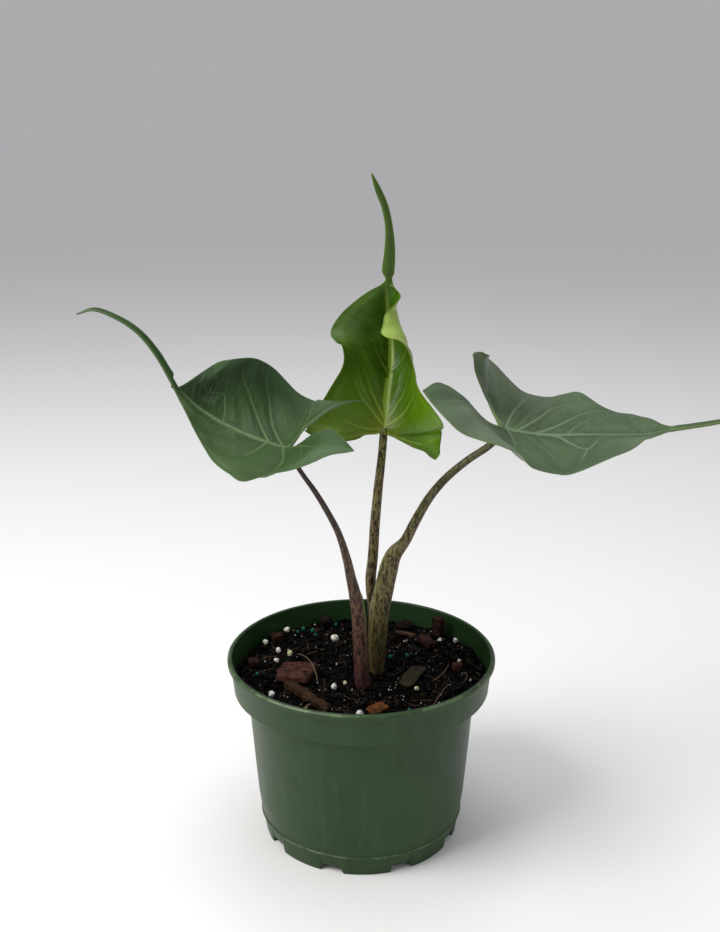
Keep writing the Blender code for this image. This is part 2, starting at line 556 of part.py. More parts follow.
pot(POT_GREEN)
soil = mix(MIX_DARK)
cut(soil, corm("corm_cutter", grow=GAP))
for which in LEAVES:
    cut(soil, tube("petiole_cutter", petiole_rows(which, GAP), sides=14, steps=24))
corm("corm", CORM_BROWN)
for which, leaf in LEAVES.items():
    stem = tube("petiole_" + which, petiole_rows(which), STEM[which], sides=12 if which == "right" else 10)
    if which == "right":
        cut(stem, tube("clasp_cutter", petiole_rows("center", GAP)))
    blade("blade_" + which, leaf, 7 if which == "center" else 6, LEAF[which])
for i, (x, y, d) in enumerate(PERLITE):
    lump("perlite_%02d" % (i + 1), soil, (x, y), (d, d * 0.9, d * 0.8), WHITE, turn=37 * i, seed=i)
for i, (x, y, d) in enumerate(PRILLS):
    lump("fertiliser_%d" % (i + 1), soil, (x, y), (d, d, d * 0.95), TEAL, seed=100 + i)
for i, (name, spot, size, turn, tilt) in enumerate(CHIPS):
    kind = name.split("_")[0]
    square = 0.0 if kind == "clod" else 0.7
    lump(name, soil, spot, size, BITS[kind], turn, tilt, seed=200 + i, square=square)
for name, path, r in STRANDS:
    strand(name, soil, path, r, FIBRE)
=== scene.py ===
"""The looks of the potted alocasia: veined leaves, mottled stalks, a moulded pot and a grainy growing mix."""

import itertools
import math

import bmesh
import bpy
import numpy as np
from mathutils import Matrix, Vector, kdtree


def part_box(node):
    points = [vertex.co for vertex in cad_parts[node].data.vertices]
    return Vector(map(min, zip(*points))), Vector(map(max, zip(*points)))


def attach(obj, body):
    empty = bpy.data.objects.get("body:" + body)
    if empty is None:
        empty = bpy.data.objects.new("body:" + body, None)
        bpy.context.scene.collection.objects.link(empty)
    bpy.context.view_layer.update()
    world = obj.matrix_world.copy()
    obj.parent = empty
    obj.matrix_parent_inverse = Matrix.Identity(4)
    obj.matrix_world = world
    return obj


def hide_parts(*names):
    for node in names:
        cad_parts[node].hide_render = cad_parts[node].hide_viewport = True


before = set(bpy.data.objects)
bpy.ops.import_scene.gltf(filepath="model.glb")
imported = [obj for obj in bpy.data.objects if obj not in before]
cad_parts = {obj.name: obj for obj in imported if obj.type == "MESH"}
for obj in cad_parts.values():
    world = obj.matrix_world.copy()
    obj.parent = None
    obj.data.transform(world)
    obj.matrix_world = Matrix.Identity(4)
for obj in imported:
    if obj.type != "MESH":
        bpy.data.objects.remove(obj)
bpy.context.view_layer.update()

# ---------------------------------------------------------------- sizes, in millimetres
MM = 0.001
PAINT = 0.5  # how dark a surface is against the screen colour it shows, because the light is that strong
pot_low, pot_high = (np.array(corner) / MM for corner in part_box("pot"))
RIM_R = (pot_high[0] - pot_low[0]) / 2
POT_H = pot_high[2]
WALL = 1.2
BEAD = 1.6  # how far the rim's rolled bead stands out of the band
BAND_H = 19.4  # the band under the rim, from the pot's top
BAND_LEAN = 3.0  # the band's lower edge is this much further in than the bead
LEDGE_W = 8.0  # step from the band's lower edge in to the body
BODY_TAPER = 6.2  # how much narrower the body is at the foot line than at its top
FOOT_H = 12.0  # up to the fine raised line round the foot
FOOT_LINE = 2.3  # how far that line stands out of the foot
FLOOR_UP = 5.0  # clear height under the floor
FLOOR_T = 1.5
PAD_R = 11.0  # flat pad in the middle of the underside
NOTCHES = 9
NOTCH_W = 12.0
NOTCH_H = 4.2
FIRST_NOTCH = -67.0  # degrees from +X
HEADSPACE = 12.5  # from the rim down to the mix
MIX_GAP = 0.75  # between the mix and the band's inside
BAND_Z = POT_H - BAND_H
BAND_R = RIM_R - BAND_LEAN
BODY_R = BAND_R - LEDGE_W
LINE_R = BODY_R - BODY_TAPER
FOOT_R = LINE_R - FOOT_LINE
FLOOR_Z = FLOOR_UP + FLOOR_T
SOIL_Z = POT_H - HEADSPACE
SOIL_R = BAND_R - WALL - MIX_GAP


# ---------------------------------------------------------------- helpers
def srgb(r, g, b):
    """A shader's values for a colour given as the screen values (255 is white) to reach in this light."""
    return [PAINT * (((c / 255 + 0.055) / 1.055) ** 2.4 if c > 10 else c / 255 / 12.92) for c in (r, g, b)]


def tone(colour):
    return np.array(srgb(*colour))


def unit(v):
    v = np.asarray(v, float)
    return v / np.maximum(np.linalg.norm(v, axis=-1, keepdims=True), 1e-12)


def hermite(u, h, p0, p1, m0, m1):
    ends = (2 * u**3 - 3 * u**2 + 1) * p0 + (3 * u**2 - 2 * u**3) * p1
    return ends + (u**3 - 2 * u**2 + u) * h * m0 + (u**3 - u**2) * h * m1


def eased(xs, ys, t):
    """Monotone cubic through the stations (xs, ys), read at t."""
    xs, ys = np.asarray(xs, float), np.asarray(ys, float)
    step = np.diff(xs)
    slope = np.diff(ys) / step
    m = np.zeros_like(ys)
    m[0], m[-1] = slope[0], slope[-1]
    a, b = 2 * step[1:] + step[:-1], step[1:] + 2 * step[:-1]
    both = slope[:-1] * slope[1:] > 0
    m[1:-1][both] = ((a + b)[both]) / (a[both] / slope[:-1][both] + b[both] / slope[1:][both])
    t = np.clip(t, xs[0], xs[-1])
    i = np.clip(np.searchsorted(xs, t, side="right") - 1, 0, len(xs) - 2)
    return hermite((t - xs[i]) / step[i], step[i], ys[i], ys[i + 1], m[i], m[i + 1])


def curve(points, count):
    """A smooth curve through the points: count points at even steps of length, and the whole length."""
    p = np.asarray(points, float)
    knots = np.r_[0, np.cumsum(np.sqrt(np.linalg.norm(np.diff(p, axis=0), axis=1)))]
    w = np.diff(knots)[:, None]
    d = np.diff(p, axis=0) / w
    m = np.zeros_like(p)
    m[1:-1] = (d[:-1] * w[1:] + d[1:] * w[:-1]) / (w[1:] + w[:-1])
    m[0], m[-1] = 2 * d[0] - m[1], 2 * d[-1] - m[-2]
    t = np.linspace(0, knots[-1], 600)
    i = np.clip(np.searchsorted(knots, t, side="right") - 1, 0, len(knots) - 2)
    q = hermite((t - knots[i])[:, None] / w[i], w[i], p[i], p[i + 1], m[i], m[i + 1])
    s = np.r_[0, np.cumsum(np.linalg.norm(np.diff(q, axis=0), axis=1))]
    at = np.linspace(0, s[-1], count)
    return np.stack([np.interp(at, s, q[:, k]) for k in range(p.shape[1])], 1), s[-1]


def ramp(x, low, high):
    """0 below low, 1 above high, smooth between."""
    u = np.clip((x - low) / (high - low), 0, 1)
    return u * u * (3 - 2 * u)


def noise(points, scale, seed=0):
    """Smooth noise from -1 to 1 at points in millimetres, with features about one scale apart."""
    q = np.asarray(points, float) / scale + 31.7 * seed + 500
    cell = np.floor(q).astype(np.int64)
    f = q - cell
    f = f * f * (3 - 2 * f)
    total = 0.0
    for corner in itertools.product((0, 1), repeat=3):
        c = cell + corner
        h = (c[..., 0] * 73856093 ^ c[..., 1] * 19349663 ^ c[..., 2] * 83492791) & 0x7FFFFFFF
        h = ((h ^ (h >> 13)) * 1103515245 + 12345) & 0x7FFFFFFF
        h = ((h ^ (h >> 11)) * 22695477 + 1) & 0x7FFFFFFF
        weight = np.prod([f[..., k] if corner[k] else 1 - f[..., k] for k in range(3)], axis=0)
        total = total + weight * (h / 0x3FFFFFFF - 1)
    return total


def round_turn(count):
    """Even angles round a full turn."""
    return np.arange(count) * 2 * math.pi / count


def tube_faces(rows, sides, rows_first=True):
    """Quads of a tube with sides points in each row. Which corner comes next sets the side that faces out."""
    ids = np.arange(rows * sides).reshape(rows, sides)
    beside = np.roll(ids, -1, axis=1)
    corners = [ids[:-1], ids[1:], beside[1:], beside[:-1]]
    if not rows_first:
        corners = [ids[:-1], beside[:-1], beside[1:], ids[1:]]
    return np.stack(corners, -1).reshape(-1, 4)


def mesh_object(name, points, faces, mat, attributes=None, smooth=True):
    """A mesh from points in millimetres. attributes: name to one value, colour or vector for each point."""
    mesh = bpy.data.meshes.new(name)
    points = np.asarray(points, float) * MM
    faces = [list(map(int, f)) for f in faces] if not isinstance(faces, np.ndarray) else faces.tolist()
    mesh.from_pydata(points.tolist(), [], faces)
    for key, values in (attributes or {}).items():
        values = np.asarray(values, np.float32)
        if values.ndim == 1:
            mesh.attributes.new(key, "FLOAT", "POINT").data.foreach_set("value", values)
        elif key == "along":
            mesh.attributes.new(key, "FLOAT_VECTOR", "POINT").data.foreach_set("vector", values.ravel())
        else:
            values = np.c_[values, np.ones(len(values), np.float32)]
            mesh.attributes.new(key, "FLOAT_COLOR", "POINT").data.foreach_set("color", values.ravel())
    mesh.materials.append(mat)
    if smooth:
        mesh.shade_smooth()
    obj = bpy.data.objects.new(name, mesh)
    bpy.context.scene.collection.objects.link(obj)
    return obj


def place(obj, slot, *nodes):
    """Puts a finished piece on the object's body and hides the CAD parts of the nodes it stands for."""
    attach(obj, "root")
    if nodes:
        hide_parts(*nodes)


class Nodes:
    """Builds one procedural material round a Principled shader."""

    def __init__(self, name, **constants):
        self.mat = bpy.data.materials.new(name)
        self.mat.use_nodes = True
        self.tree = self.mat.node_tree
        self.shader = self.tree.nodes["Principled BSDF"]
        for key, value in constants.items():
            self.shader.inputs[key.replace("_", " ")].default_value = value

    def put(self, node, key, value):
        if isinstance(value, bpy.types.NodeSocket):
            self.tree.links.new(value, node.inputs[key])
        elif value is not None:
            opaque = node.inputs[key].type == "RGBA" and len(value) == 3
            node.inputs[key].default_value = (*value, 1.0) if opaque else value

    def add(self, kind, inputs=(), out=0, **settings):
        node = self.tree.nodes.new("ShaderNode" + kind)
        for key, value in settings.items():
            setattr(node, key, value)
        for key, value in dict(inputs).items():
            self.put(node, key, value)
        return node.outputs[out]

    def attribute(self, name, out="Fac"):
        return self.add("Attribute", attribute_name=name, out=out)

    def position(self):
        return self.add("TexCoord", out="Object")

    def stretched(self, vector, scale):
        return self.add("Mapping", {"Vector": vector, "Scale": scale})

    def noise(self, vector, scale, detail=3.0, roughness=0.55, distortion=0.0):
        values = {"Vector": vector, "Scale": scale, "Detail": detail, "Roughness": roughness}
        return self.add("TexNoise", {**values, "Distortion": distortion})

    def voronoi(self, vector, scale, out="Distance", feature="F1"):
        return self.add("TexVoronoi", {"Vector": vector, "Scale": scale}, out=out, feature=feature)

    def math(self, operation, a, b=None):
        return self.add("Math", {0: a, 1: b}, operation=operation)

    def times(self, a, b):
        return self.math("MULTIPLY", a, b)

    def ramp(self, value, low, high, to_low=0.0, to_high=1.0):
        """A smooth step from to_low, where the value is low, to to_high, where it is high."""
        inputs = {"Value": value, "From Min": low, "From Max": high, "To Min": to_low, "To Max": to_high}
        return self.add("MapRange", inputs, interpolation_type="SMOOTHSTEP")

    def mix(self, factor, a, b, blend="MIX"):
        return self.add("Mix", {0: factor, 6: a, 7: b}, out=2, data_type="RGBA", blend_type=blend)

    def bump(self, height, distance, strength):
        return self.add("Bump", {"Height": height, "Distance": distance, "Strength": strength})

    def done(self, **links):
        for key, value in links.items():
            self.put(self.shader, key.replace("_", " "), value)
        return self.mat


# ---------------------------------------------------------------- the leaf blades
# The same lines as the CAD blades: stations run from the tips of the back lobes (-1) over the petiole's top
# (0) to the start of the tail (1) and its end (2). _l is the half to the left of someone at the petiole who
# looks to the tail. The rows of LEAVES aren't a design made by hand: scripts fitted most of them to outlines
# traced on the photo.
WIDTH_AT = (-1, -0.93, -0.8, -0.6, -0.4, -0.2, 0, 0.15, 0.3, 0.45, 0.6, 0.75, 0.87, 0.95, 1.0)
NOTCH_AT = WIDTH_AT[:7]  # as far as the petiole
TURN_AT = (-1, -0.6, -0.25, 0, 0.3, 0.6, 0.85, 1.0)
TAIL_AT = (0, 0.12, 0.3, 0.55, 0.8, 0.93, 1.0)
STATIONS = (-1, -0.93, -0.8, -0.6, -0.4, -0.25, 0, 0.2, 0.3, 0.45, 0.57, 0.8, 0.87, 0.915, 0.96, 1.0,
            1.12, 1.3, 1.5, 1.7, 1.87, 2.0)
HALVES = ("l", "r")

LEAVES = {
    "left": dict(
        rib=[(-37, -54.5, 148), (-57, -50, 153.5), (-75, -46.5, 162), (-85, -44.5, 169.5),
             (-90, -44.5, 175.5), (-98, -43.5, 189.5), (-103.5, -42.5, 197.5), (-112, -41.5, 206),
             (-122.5, -40.5, 211.5), (-133, -40, 214), (-139, -40, 211.5)],
        body=4, up=(0, -0.42, 0.9), back=(8, 38, 36, -6, 2),
        width_l=[37, 37, 37.5, 43, 47.5, 51.5, 57.5, 54.5, 47, 38, 26.5, 16, 9, 4.5, 3],
        width_r=[38, 38, 38, 38.5, 39, 43, 51.5, 50, 49.5, 47.5, 43, 37, 30, 25.5, 4],
        notch_l=[37, 26.5, 11.5, 3, 0.5, 3.5, 0], notch_r=[38, 34, 27.5, 18.5, 11.5, 6.5, 0],
        rise_l=[0, 17, 5, 15, 3, 1, 15, 0], rise_r=[-25, -10, 0, -17, -5, 10, 14, -7],
        curl_l=[24, 8, 37, 18, 38, 39, 14, -14], curl_r=[-27, -23, -21, 12, 5, 8, 14, 19],
        tail=[3.2, 2.1, 1.9, 1.8, 1.6, 1.2, 0.4],
    ),
    "center": dict(
        rib=[(12.5, 12.5, 140), (14.5, 22.5, 158), (17, 35, 176.5), (15.5, 40.5, 193), (14, 37.5, 215.5),
             (15, 36.5, 225), (15.5, 35.5, 234.5), (15, 33.5, 246.5), (12.5, 31.5, 258.5), (8.5, 29.5, 268),
             (5.5, 28.5, 275.5)],
        body=4, up=(0, -0.97, 0.2), back=(1, -7.5, 19, 0, 6),
        width_l=[43.5, 47.5, 47, 46.5, 46, 46, 45, 38.5, 33, 35.5, 38, 35, 24, 11.5, 3],
        width_r=[29.5, 32, 34, 37.5, 39, 41, 53.5, 38.5, 34.5, 40, 35, 30, 21.5, 15.5, 4],
        notch_l=[43.5, 34, 32, 22, 14, 9, 0], notch_r=[29.5, 27, 24, 17, 11, 4.5, 0],
        rise_l=[5, 5, 5, 5, 10, 15, 5, 2], rise_r=[-9, 1.5, 7.5, 22, 28, 25, 17, -6],
        curl_l=[43, 42, 45.5, 48.5, 48.5, 38.5, 16, -12], curl_r=[36.5, 61, 63, 70, 80, 149, 164, 85],
        tail=[3.1, 3.5, 3, 2, 1.8, 1.3, 0.4],
    ),
    "right": dict(
        rib=[(75.5, -16.5, 148), (95.5, -15, 144), (117, -15.5, 144), (139, -14, 143.5), (153, -13.5, 144),
             (160.5, -16, 147), (169.5, -16, 148.5), (178.5, -15, 149.5), (189, -14, 151), (201, -13, 153),
             (215.5, -12, 155)],
        body=5, up=(0, -0.35, 0.93), back=(-3, 17, 57, -1, 16),
        width_l=[36.5, 27.5, 23, 23, 37, 72.5, 69, 60, 61, 53.5, 46, 29, 28.5, 13.5, 4],
        width_r=[35, 41, 52, 55, 57.5, 57.5, 59.5, 58, 54.5, 51, 43, 28, 16, 8, 3],
        notch_l=[36.5, 27, 18, 12, 11, 8, 0], notch_r=[35, 24.5, 16.5, 9.5, 6, 8, 0],
        rise_l=[130, 71, 20, 10, 5, 0, 5, 2], rise_r=[-5, 10, 5, 0, 0, 10, 15, 5],
        curl_l=[22, -15, -47, -25, -40, -10, -35, -36], curl_r=[-5, 0, 30, 35, 30, 30, 32, 30],
        tail=[2.8, 2.4, 2.2, 1.9, 1.6, 1.1, 0.4],
    ),
}

# Veins: the half, its route as (station, share of the half's width), its first width in mm, its strength. The
# routes were listed and converted to these shares by a script.
VEINS = {
    "left": [
        ("r", [(0.55, 0), (0.59, 0.16), (0.63, 0.25), (0.69, 0.36), (0.76, 0.33), (0.82, 0.24)], 0.9, 0.7),
        ("r", [(0.14, 0), (0.24, 0.15), (0.35, 0.31), (0.47, 0.47), (0.55, 0.58), (0.62, 0.66), (0.67, 0.8)],
         1.3, 1.0),
        ("r", [(0.02, 0), (0.1, 0.12), (0.19, 0.28), (0.32, 0.57), (0.39, 0.7), (0.45, 0.82), (0.49, 0.94)],
         1.3, 0.95),
        ("r", [(0, 0), (-0.25, 0.05), (-0.5, 0.08), (-0.75, 0.15), (-0.93, 0.35)], 1.5, 0.9),
        ("r", [(-0.2, 0.04), (-0.27, 0.2), (-0.31, 0.4), (-0.3, 0.65)], 0.8, 0.6),
        ("r", [(0.36, 0), (0.48, 0.28), (0.56, 0.41), (0.62, 0.49)], 0.7, 0.35),
        ("l", [(0.16, 0), (0.22, 0.27), (0.28, 0.41), (0.36, 0.5), (0.45, 0.62)], 1.0, 0.8),
        ("l", [(0.03, 0), (-0.02, 0.12), (-0.09, 0.26), (-0.14, 0.52), (-0.15, 0.8)], 1.0, 0.75),
        ("l", [(0, 0), (-0.25, 0.06), (-0.42, 0.24), (-0.64, 0.5), (-0.81, 0.66)], 1.2, 0.6),
        ("l", [(-0.28, 0.06), (-0.36, 0.3), (-0.43, 0.6)], 0.7, 0.4),
        ("l", [(0.45, 0), (0.52, 0.22), (0.6, 0.42), (0.7, 0.6)], 0.7, 0.35),
    ],
    "center": [
        ("l", [(0.07, 0), (0.2, 0.2), (0.28, 0.35), (0.35, 0.49), (0.42, 0.62)], 1.2, 0.8),
        ("l", [(0.02, 0), (0.12, 0.21), (0.19, 0.41), (0.26, 0.59), (0.34, 0.74)], 1.2, 0.8),
        ("l", [(0, 0), (-0.02, 0.21), (0.01, 0.45), (0.03, 0.65), (0.05, 0.85)], 1.0, 0.7),
        ("l", [(0.36, 0), (0.41, 0.09), (0.47, 0.18), (0.57, 0.26), (0.66, 0.29)], 0.9, 0.6),
        ("l", [(0, 0), (-0.3, 0.1), (-0.7, 0.3)], 1.6, 0.7),
        ("r", [(0.06, 0), (0.16, 0.17), (0.23, 0.33), (0.32, 0.4), (0.42, 0.42)], 1.1, 0.8),
        ("r", [(0.02, 0), (0.1, 0.25), (0.16, 0.45), (0.2, 0.6), (0.27, 0.76)], 1.1, 0.8),
        ("r", [(0, 0), (-0.15, 0.08), (-0.18, 0.25), (-0.14, 0.42)], 1.0, 0.6),
        ("r", [(0, 0), (-0.3, 0.1), (-0.7, 0.4)], 1.6, 0.7),
        ("r", [(0.4, 0), (0.5, 0.25), (0.6, 0.5), (0.7, 0.7)], 0.8, 0.5),
    ],
    "right": [
        ("l", [(0, 0), (-0.16, 0.02), (-0.32, 0.04), (-0.53, 0.03), (-0.7, 0.04), (-0.92, 0.12)], 2.0, 1.0),
        ("l", [(-0.3, 0.04), (-0.29, 0.19), (-0.3, 0.32)], 1.1, 0.9),
        ("l", [(0, 0), (0.05, 0.19), (0.12, 0.39), (0.19, 0.63), (0.23, 0.78)], 1.4, 0.9),
        ("l", [(0.05, 0), (0.15, 0.21), (0.24, 0.45), (0.29, 0.64)], 0.8, 0.55),
        ("l", [(0.07, 0), (0.22, 0.22), (0.36, 0.52), (0.51, 0.69), (0.63, 0.85)], 1.4, 1.0),
        ("l", [(0.18, 0), (0.33, 0.13), (0.46, 0.32), (0.62, 0.54), (0.7, 0.68)], 1.4, 0.95),
        ("l", [(0.38, 0), (0.5, 0.23), (0.62, 0.42), (0.72, 0.7)], 0.9, 0.6),
        ("l", [(0.85, 0.78), (0.82, 0.5), (0.83, 0.27), (0.86, 0.1)], 0.8, 0.5),
        ("r", [(0.2, 0.02), (0.32, 0.03), (0.39, 0.17), (0.47, 0.34), (0.53, 0.2), (0.58, 0.08),
               (0.68, 0.02)], 1.5, 1.0),
        ("r", [(0.47, 0.34), (0.43, 0.53), (0.39, 0.74)], 1.1, 0.75),
        ("r", [(0, 0), (0.04, 0.17), (0.03, 0.34)], 1.5, 0.85),
        ("r", [(-0.24, 0.04), (-0.42, 0.3), (-0.54, 0.55), (-0.7, 0.92)], 1.1, 0.8),
        ("r", [(0, 0), (-0.23, 0.02), (-0.42, 0.05), (-0.59, 0.18), (-0.74, 0.32), (-0.92, 0.77)], 1.7, 0.9),
        ("r", [(0.1, 0.02), (0.2, 0.21), (0.28, 0.51), (0.31, 0.76)], 0.8, 0.4),
    ],
}

# Colours, and soft zones of another colour: half, station, share, reach along and across, colour, amount.
# Most
# zones are painted light and shade: paler patches painted where a blade is lit or glossy, darker ones painted
# where it lies in shade.
COLOURS = {
    "left": dict(top=(66, 100, 48), under=(92, 128, 76), vein=(128, 156, 100),
                 margin=(112, 142, 92), tail=(46, 84, 28)),
    "center": dict(top=(64, 112, 2), under=(150, 184, 72), vein=(158, 186, 66),
                   margin=(104, 140, 20), tail=(76, 108, 40)),
    "right": dict(top=(92, 120, 82), under=(150, 172, 134), vein=(152, 178, 132),
                  margin=(140, 160, 100), tail=(76, 108, 58)),
}
COLOUR_AND_PAINTED_LIGHT_ZONES = {
    "left": [
        # This zone: painted shade in the hollow near the tail, over the blade's darker green there.
        ("r", 0.88, 0.4, 0.24, 0.5, (2, 30, 0), 0.95),
        ("r", 0.6, 0.8, 0.3, 0.3, (36, 70, 20), 0.6),
        ("r", 0.5, 1.05, 0.5, 0.18, (100, 134, 100), 0.6),
        ("l", 0.45, 1.0, 0.55, 0.5, (112, 142, 90), 0.8),
        ("l", -0.7, 0.8, 0.3, 0.3, (112, 144, 106), 0.6),
    ],
    "center": [
        ("l", 0.0, 0.0, 0.16, 0.22, (128, 132, 10), 0.9),
        ("r", 0.0, 0.0, 0.14, 0.2, (128, 136, 10), 0.8),
        ("l", -0.5, 0.05, 0.5, 0.18, (118, 126, 16), 0.8),
        ("r", -0.5, 0.05, 0.5, 0.14, (110, 136, 16), 0.6),
        ("l", 0.5, 0.12, 0.3, 0.22, (28, 66, 0), 0.85),
        # This zone and the next: painted light on the upper left of the blade and on its left lobe.
        ("l", 0.75, 0.75, 0.25, 0.4, (104, 138, 66), 0.8),
        ("l", -0.5, 0.6, 0.6, 0.5, (170, 204, 84), 0.85),
        ("r", 0.3, 0.95, 0.35, 0.3, (132, 168, 28), 0.85),
        # Painted light on the right lobe.
        ("r", -0.5, 0.8, 0.7, 0.5, (124, 180, 6), 0.9),
    ],
    "right": [
        ("l", 0.0, 0.0, 0.07, 0.1, (160, 190, 140), 0.8),
        # Painted shade on the near half.
        ("r", 0.35, 0.85, 0.3, 0.25, (66, 98, 66), 0.7),
        ("r", -0.5, 0.7, 0.4, 0.6, (152, 174, 140), 0.8),
        # Painted highlight: the glossy streaks near the lower margin.
        ("r", 0.85, 0.7, 0.2, 0.4, (132, 156, 124), 0.5),
        ("l", 0.35, 0.5, 0.5, 0.45, (106, 132, 94), 0.6),
        # Painted sheen on the far back lobe.
        ("l", -0.85, 0.5, 0.4, 0.7, (190, 208, 178), 0.9),
    ],
}


def leaf_line(leaf):
    """The midrib and, behind the petiole, the line between the lobes: distances, points and directions."""
    rib, whole = curve(leaf["rib"], 160)
    blade_long = curve(leaf["rib"][: leaf["body"] + 1], 60)[1]
    up = unit(leaf["up"])
    ahead = unit(rib[2] - rib[0])
    side = unit(np.cross(up, ahead))
    normal = np.cross(ahead, side)
    yaw, pitch = np.radians(leaf["back"][:2])
    length, bend_side, bend_up = leaf["back"][2:]
    level = math.cos(yaw) * ahead + math.sin(yaw) * side
    back = math.sin(pitch) * normal - math.cos(pitch) * level
    b = np.linspace(0, 1, 31)[1:, None]
    behind = rib[0] + back * b * length + (bend_side * side + bend_up * normal) * b**2
    points = np.r_[behind[::-1], rib] + (0.0, 0.0, SOIL_Z)
    at = np.r_[-b[::-1, 0] * length, np.linspace(0, whole, len(rib))]
    reach = 8  # rows to each side that the direction is smoothed over
    along = np.pad(np.gradient(points, at, axis=0), ((reach, reach), (0, 0)), mode="edge")
    window = np.hanning(2 * reach + 1)
    window = window / window.sum()
    along = unit(np.stack([np.convolve(along[:, k], window, "valid") for k in range(3)], 1))
    side = unit(np.cross(up, along))
    return at, (points, side, np.cross(along, side)), length, blade_long, whole - blade_long


def leaf_sheet(leaf, stations, across):
    """The two half blades: points and upward directions (half, station, across, 3), and distances."""
    line_at, lines, back_long, blade_long, tail_long = leaf_line(leaf)
    t = np.asarray(stations, float)
    at = np.where(t < 0, t * back_long, np.minimum(t, 1) * blade_long + np.maximum(t - 1, 0) * tail_long)
    read = [np.stack([np.interp(at, line_at, rows[:, k]) for k in range(3)], -1)[:, None] for rows in lines]
    centre, side, normal = read
    body, tail = np.clip(t, -1, 1), np.clip(t - 1, 0, 1)
    share = np.linspace(0, 1, across + 1)
    grids, tops, spans = [], [], []
    for which, sign in zip(HALVES, (1, -1)):
        outer = eased(WIDTH_AT, leaf["width_" + which], body)
        outer = np.where(t > 1, eased(TAIL_AT, leaf["tail"], tail), outer)
        inner = np.where(t < 0, eased(NOTCH_AT, leaf["notch_" + which], np.minimum(body, 0)), 0.0)
        rise = np.radians(eased(TURN_AT, leaf["rise_" + which], body))[:, None]
        curl = np.radians(eased(TURN_AT, leaf["curl_" + which], body)) / np.maximum(outer, 8.0)
        curl = np.where(np.abs(curl) < 1e-6, 1e-6, curl)[:, None]
        b = inner[:, None] + (outer - inner)[:, None] * share
        angle = rise + curl * b
        x = ((np.sin(angle) - np.sin(rise)) / curl)[..., None]
        z = ((np.cos(rise) - np.cos(angle)) / curl)[..., None]
        grids.append(centre + sign * side * x + normal * z)
        tops.append(normal * np.cos(angle)[..., None] - sign * side * np.sin(angle)[..., None])
        spans.append(b)
    return np.array(grids), np.array(tops), np.array(spans), at


def through(rows, t):
    """Rows given at the STATIONS along the second axis, read at t on a smooth curve through them."""
    xs = np.asarray(STATIONS, float)
    shape = (1, -1, 1, 1)
    step = np.diff(xs)
    h = step.reshape(shape)
    slope = np.diff(rows, axis=1) / h
    m = np.empty_like(rows)
    m[:, 1:-1] = (slope[:, :-1] * h[:, 1:] + slope[:, 1:] * h[:, :-1]) / (h[:, 1:] + h[:, :-1])
    m[:, 0], m[:, -1] = slope[:, 0], slope[:, -1]
    i = np.clip(np.searchsorted(xs, t, side="right") - 1, 0, len(xs) - 2)
    u, h = ((t - xs[i]) / step[i]).reshape(shape), step[i].reshape(shape)
    return hermite(u, h, rows[:, i], rows[:, i + 1], m[:, i], m[:, i + 1])


def vein_field(name, grids, t, across, midrib_w):
    """For each point, of the nearest vein: distance over its half width, strength, distance in mm."""
    samples, halves, strengths = [], [], []
    for which, route, width, strength in VEINS[name]:
        path, _ = curve(route, 260)
        i = np.interp(path[:, 0], t, np.arange(len(t)))
        j = np.clip(path[:, 1], 0, 1) * across
        i0, j0 = np.minimum(i.astype(int), len(t) - 2), np.minimum(j.astype(int), across - 1)
        fi, fj = (i - i0)[:, None], (j - j0)[:, None]
        g = grids[HALVES.index(which)]
        nearer = g[i0, j0] * (1 - fi) + g[i0 + 1, j0] * fi
        further = g[i0, j0 + 1] * (1 - fi) + g[i0 + 1, j0 + 1] * fi
        run = np.linspace(0, 1, len(path))
        samples.append(nearer * (1 - fj) + further * fj)
        halves.append(width / 2 * (1 - 0.6 * run))
        strengths.append(strength * (1 - 0.75 * run**2))
    rib = grids[0][t >= 0][:, 0]
    rib_t = t[t >= 0]
    samples.append(rib)
    halves.append(np.interp(rib_t, *midrib_w))
    strengths.append(np.interp(rib_t, [0, 0.5, 0.85, 1.05, 2], [1, 1, 0.7, 0.3, 0.1]))
    samples, halves, strengths = np.concatenate(samples), np.concatenate(halves), np.concatenate(strengths)
    tree = kdtree.KDTree(len(samples))
    for k, p in enumerate(samples):
        tree.insert(p, k)
    tree.balance()
    flat = grids.reshape(-1, 3)
    ratio, strong, plain = np.empty(len(flat)), np.empty(len(flat)), np.empty(len(flat))
    for k, p in enumerate(flat):
        _, m, d = tree.find(p)
        ratio[k], strong[k], plain[k] = d / halves[m], strengths[m], d
    shape = grids.shape[:3]
    return ratio.reshape(shape), strong.reshape(shape), plain.reshape(shape)


# Each midrib's width in mm at the stations.
MIDRIBS = {
    "left": ([0, 0.2, 0.6, 0.9, 1.2, 2], [1.5, 1.2, 0.9, 0.6, 0.5, 0.3]),
    "center": ([0, 0.2, 0.5, 0.8, 1.1, 2], [2.3, 2.5, 2.0, 1.3, 0.7, 0.4]),
    "right": ([0, 0.2, 0.6, 0.9, 1.2, 2], [1.1, 0.9, 0.6, 0.5, 0.5, 0.3]),
}


# Relief of the blades, in millimetres.
QUILT = 1.3
MARGIN_WAVE = 0.85
VEIN_RIDGE = 0.22
HALF_SKIN = 0.2


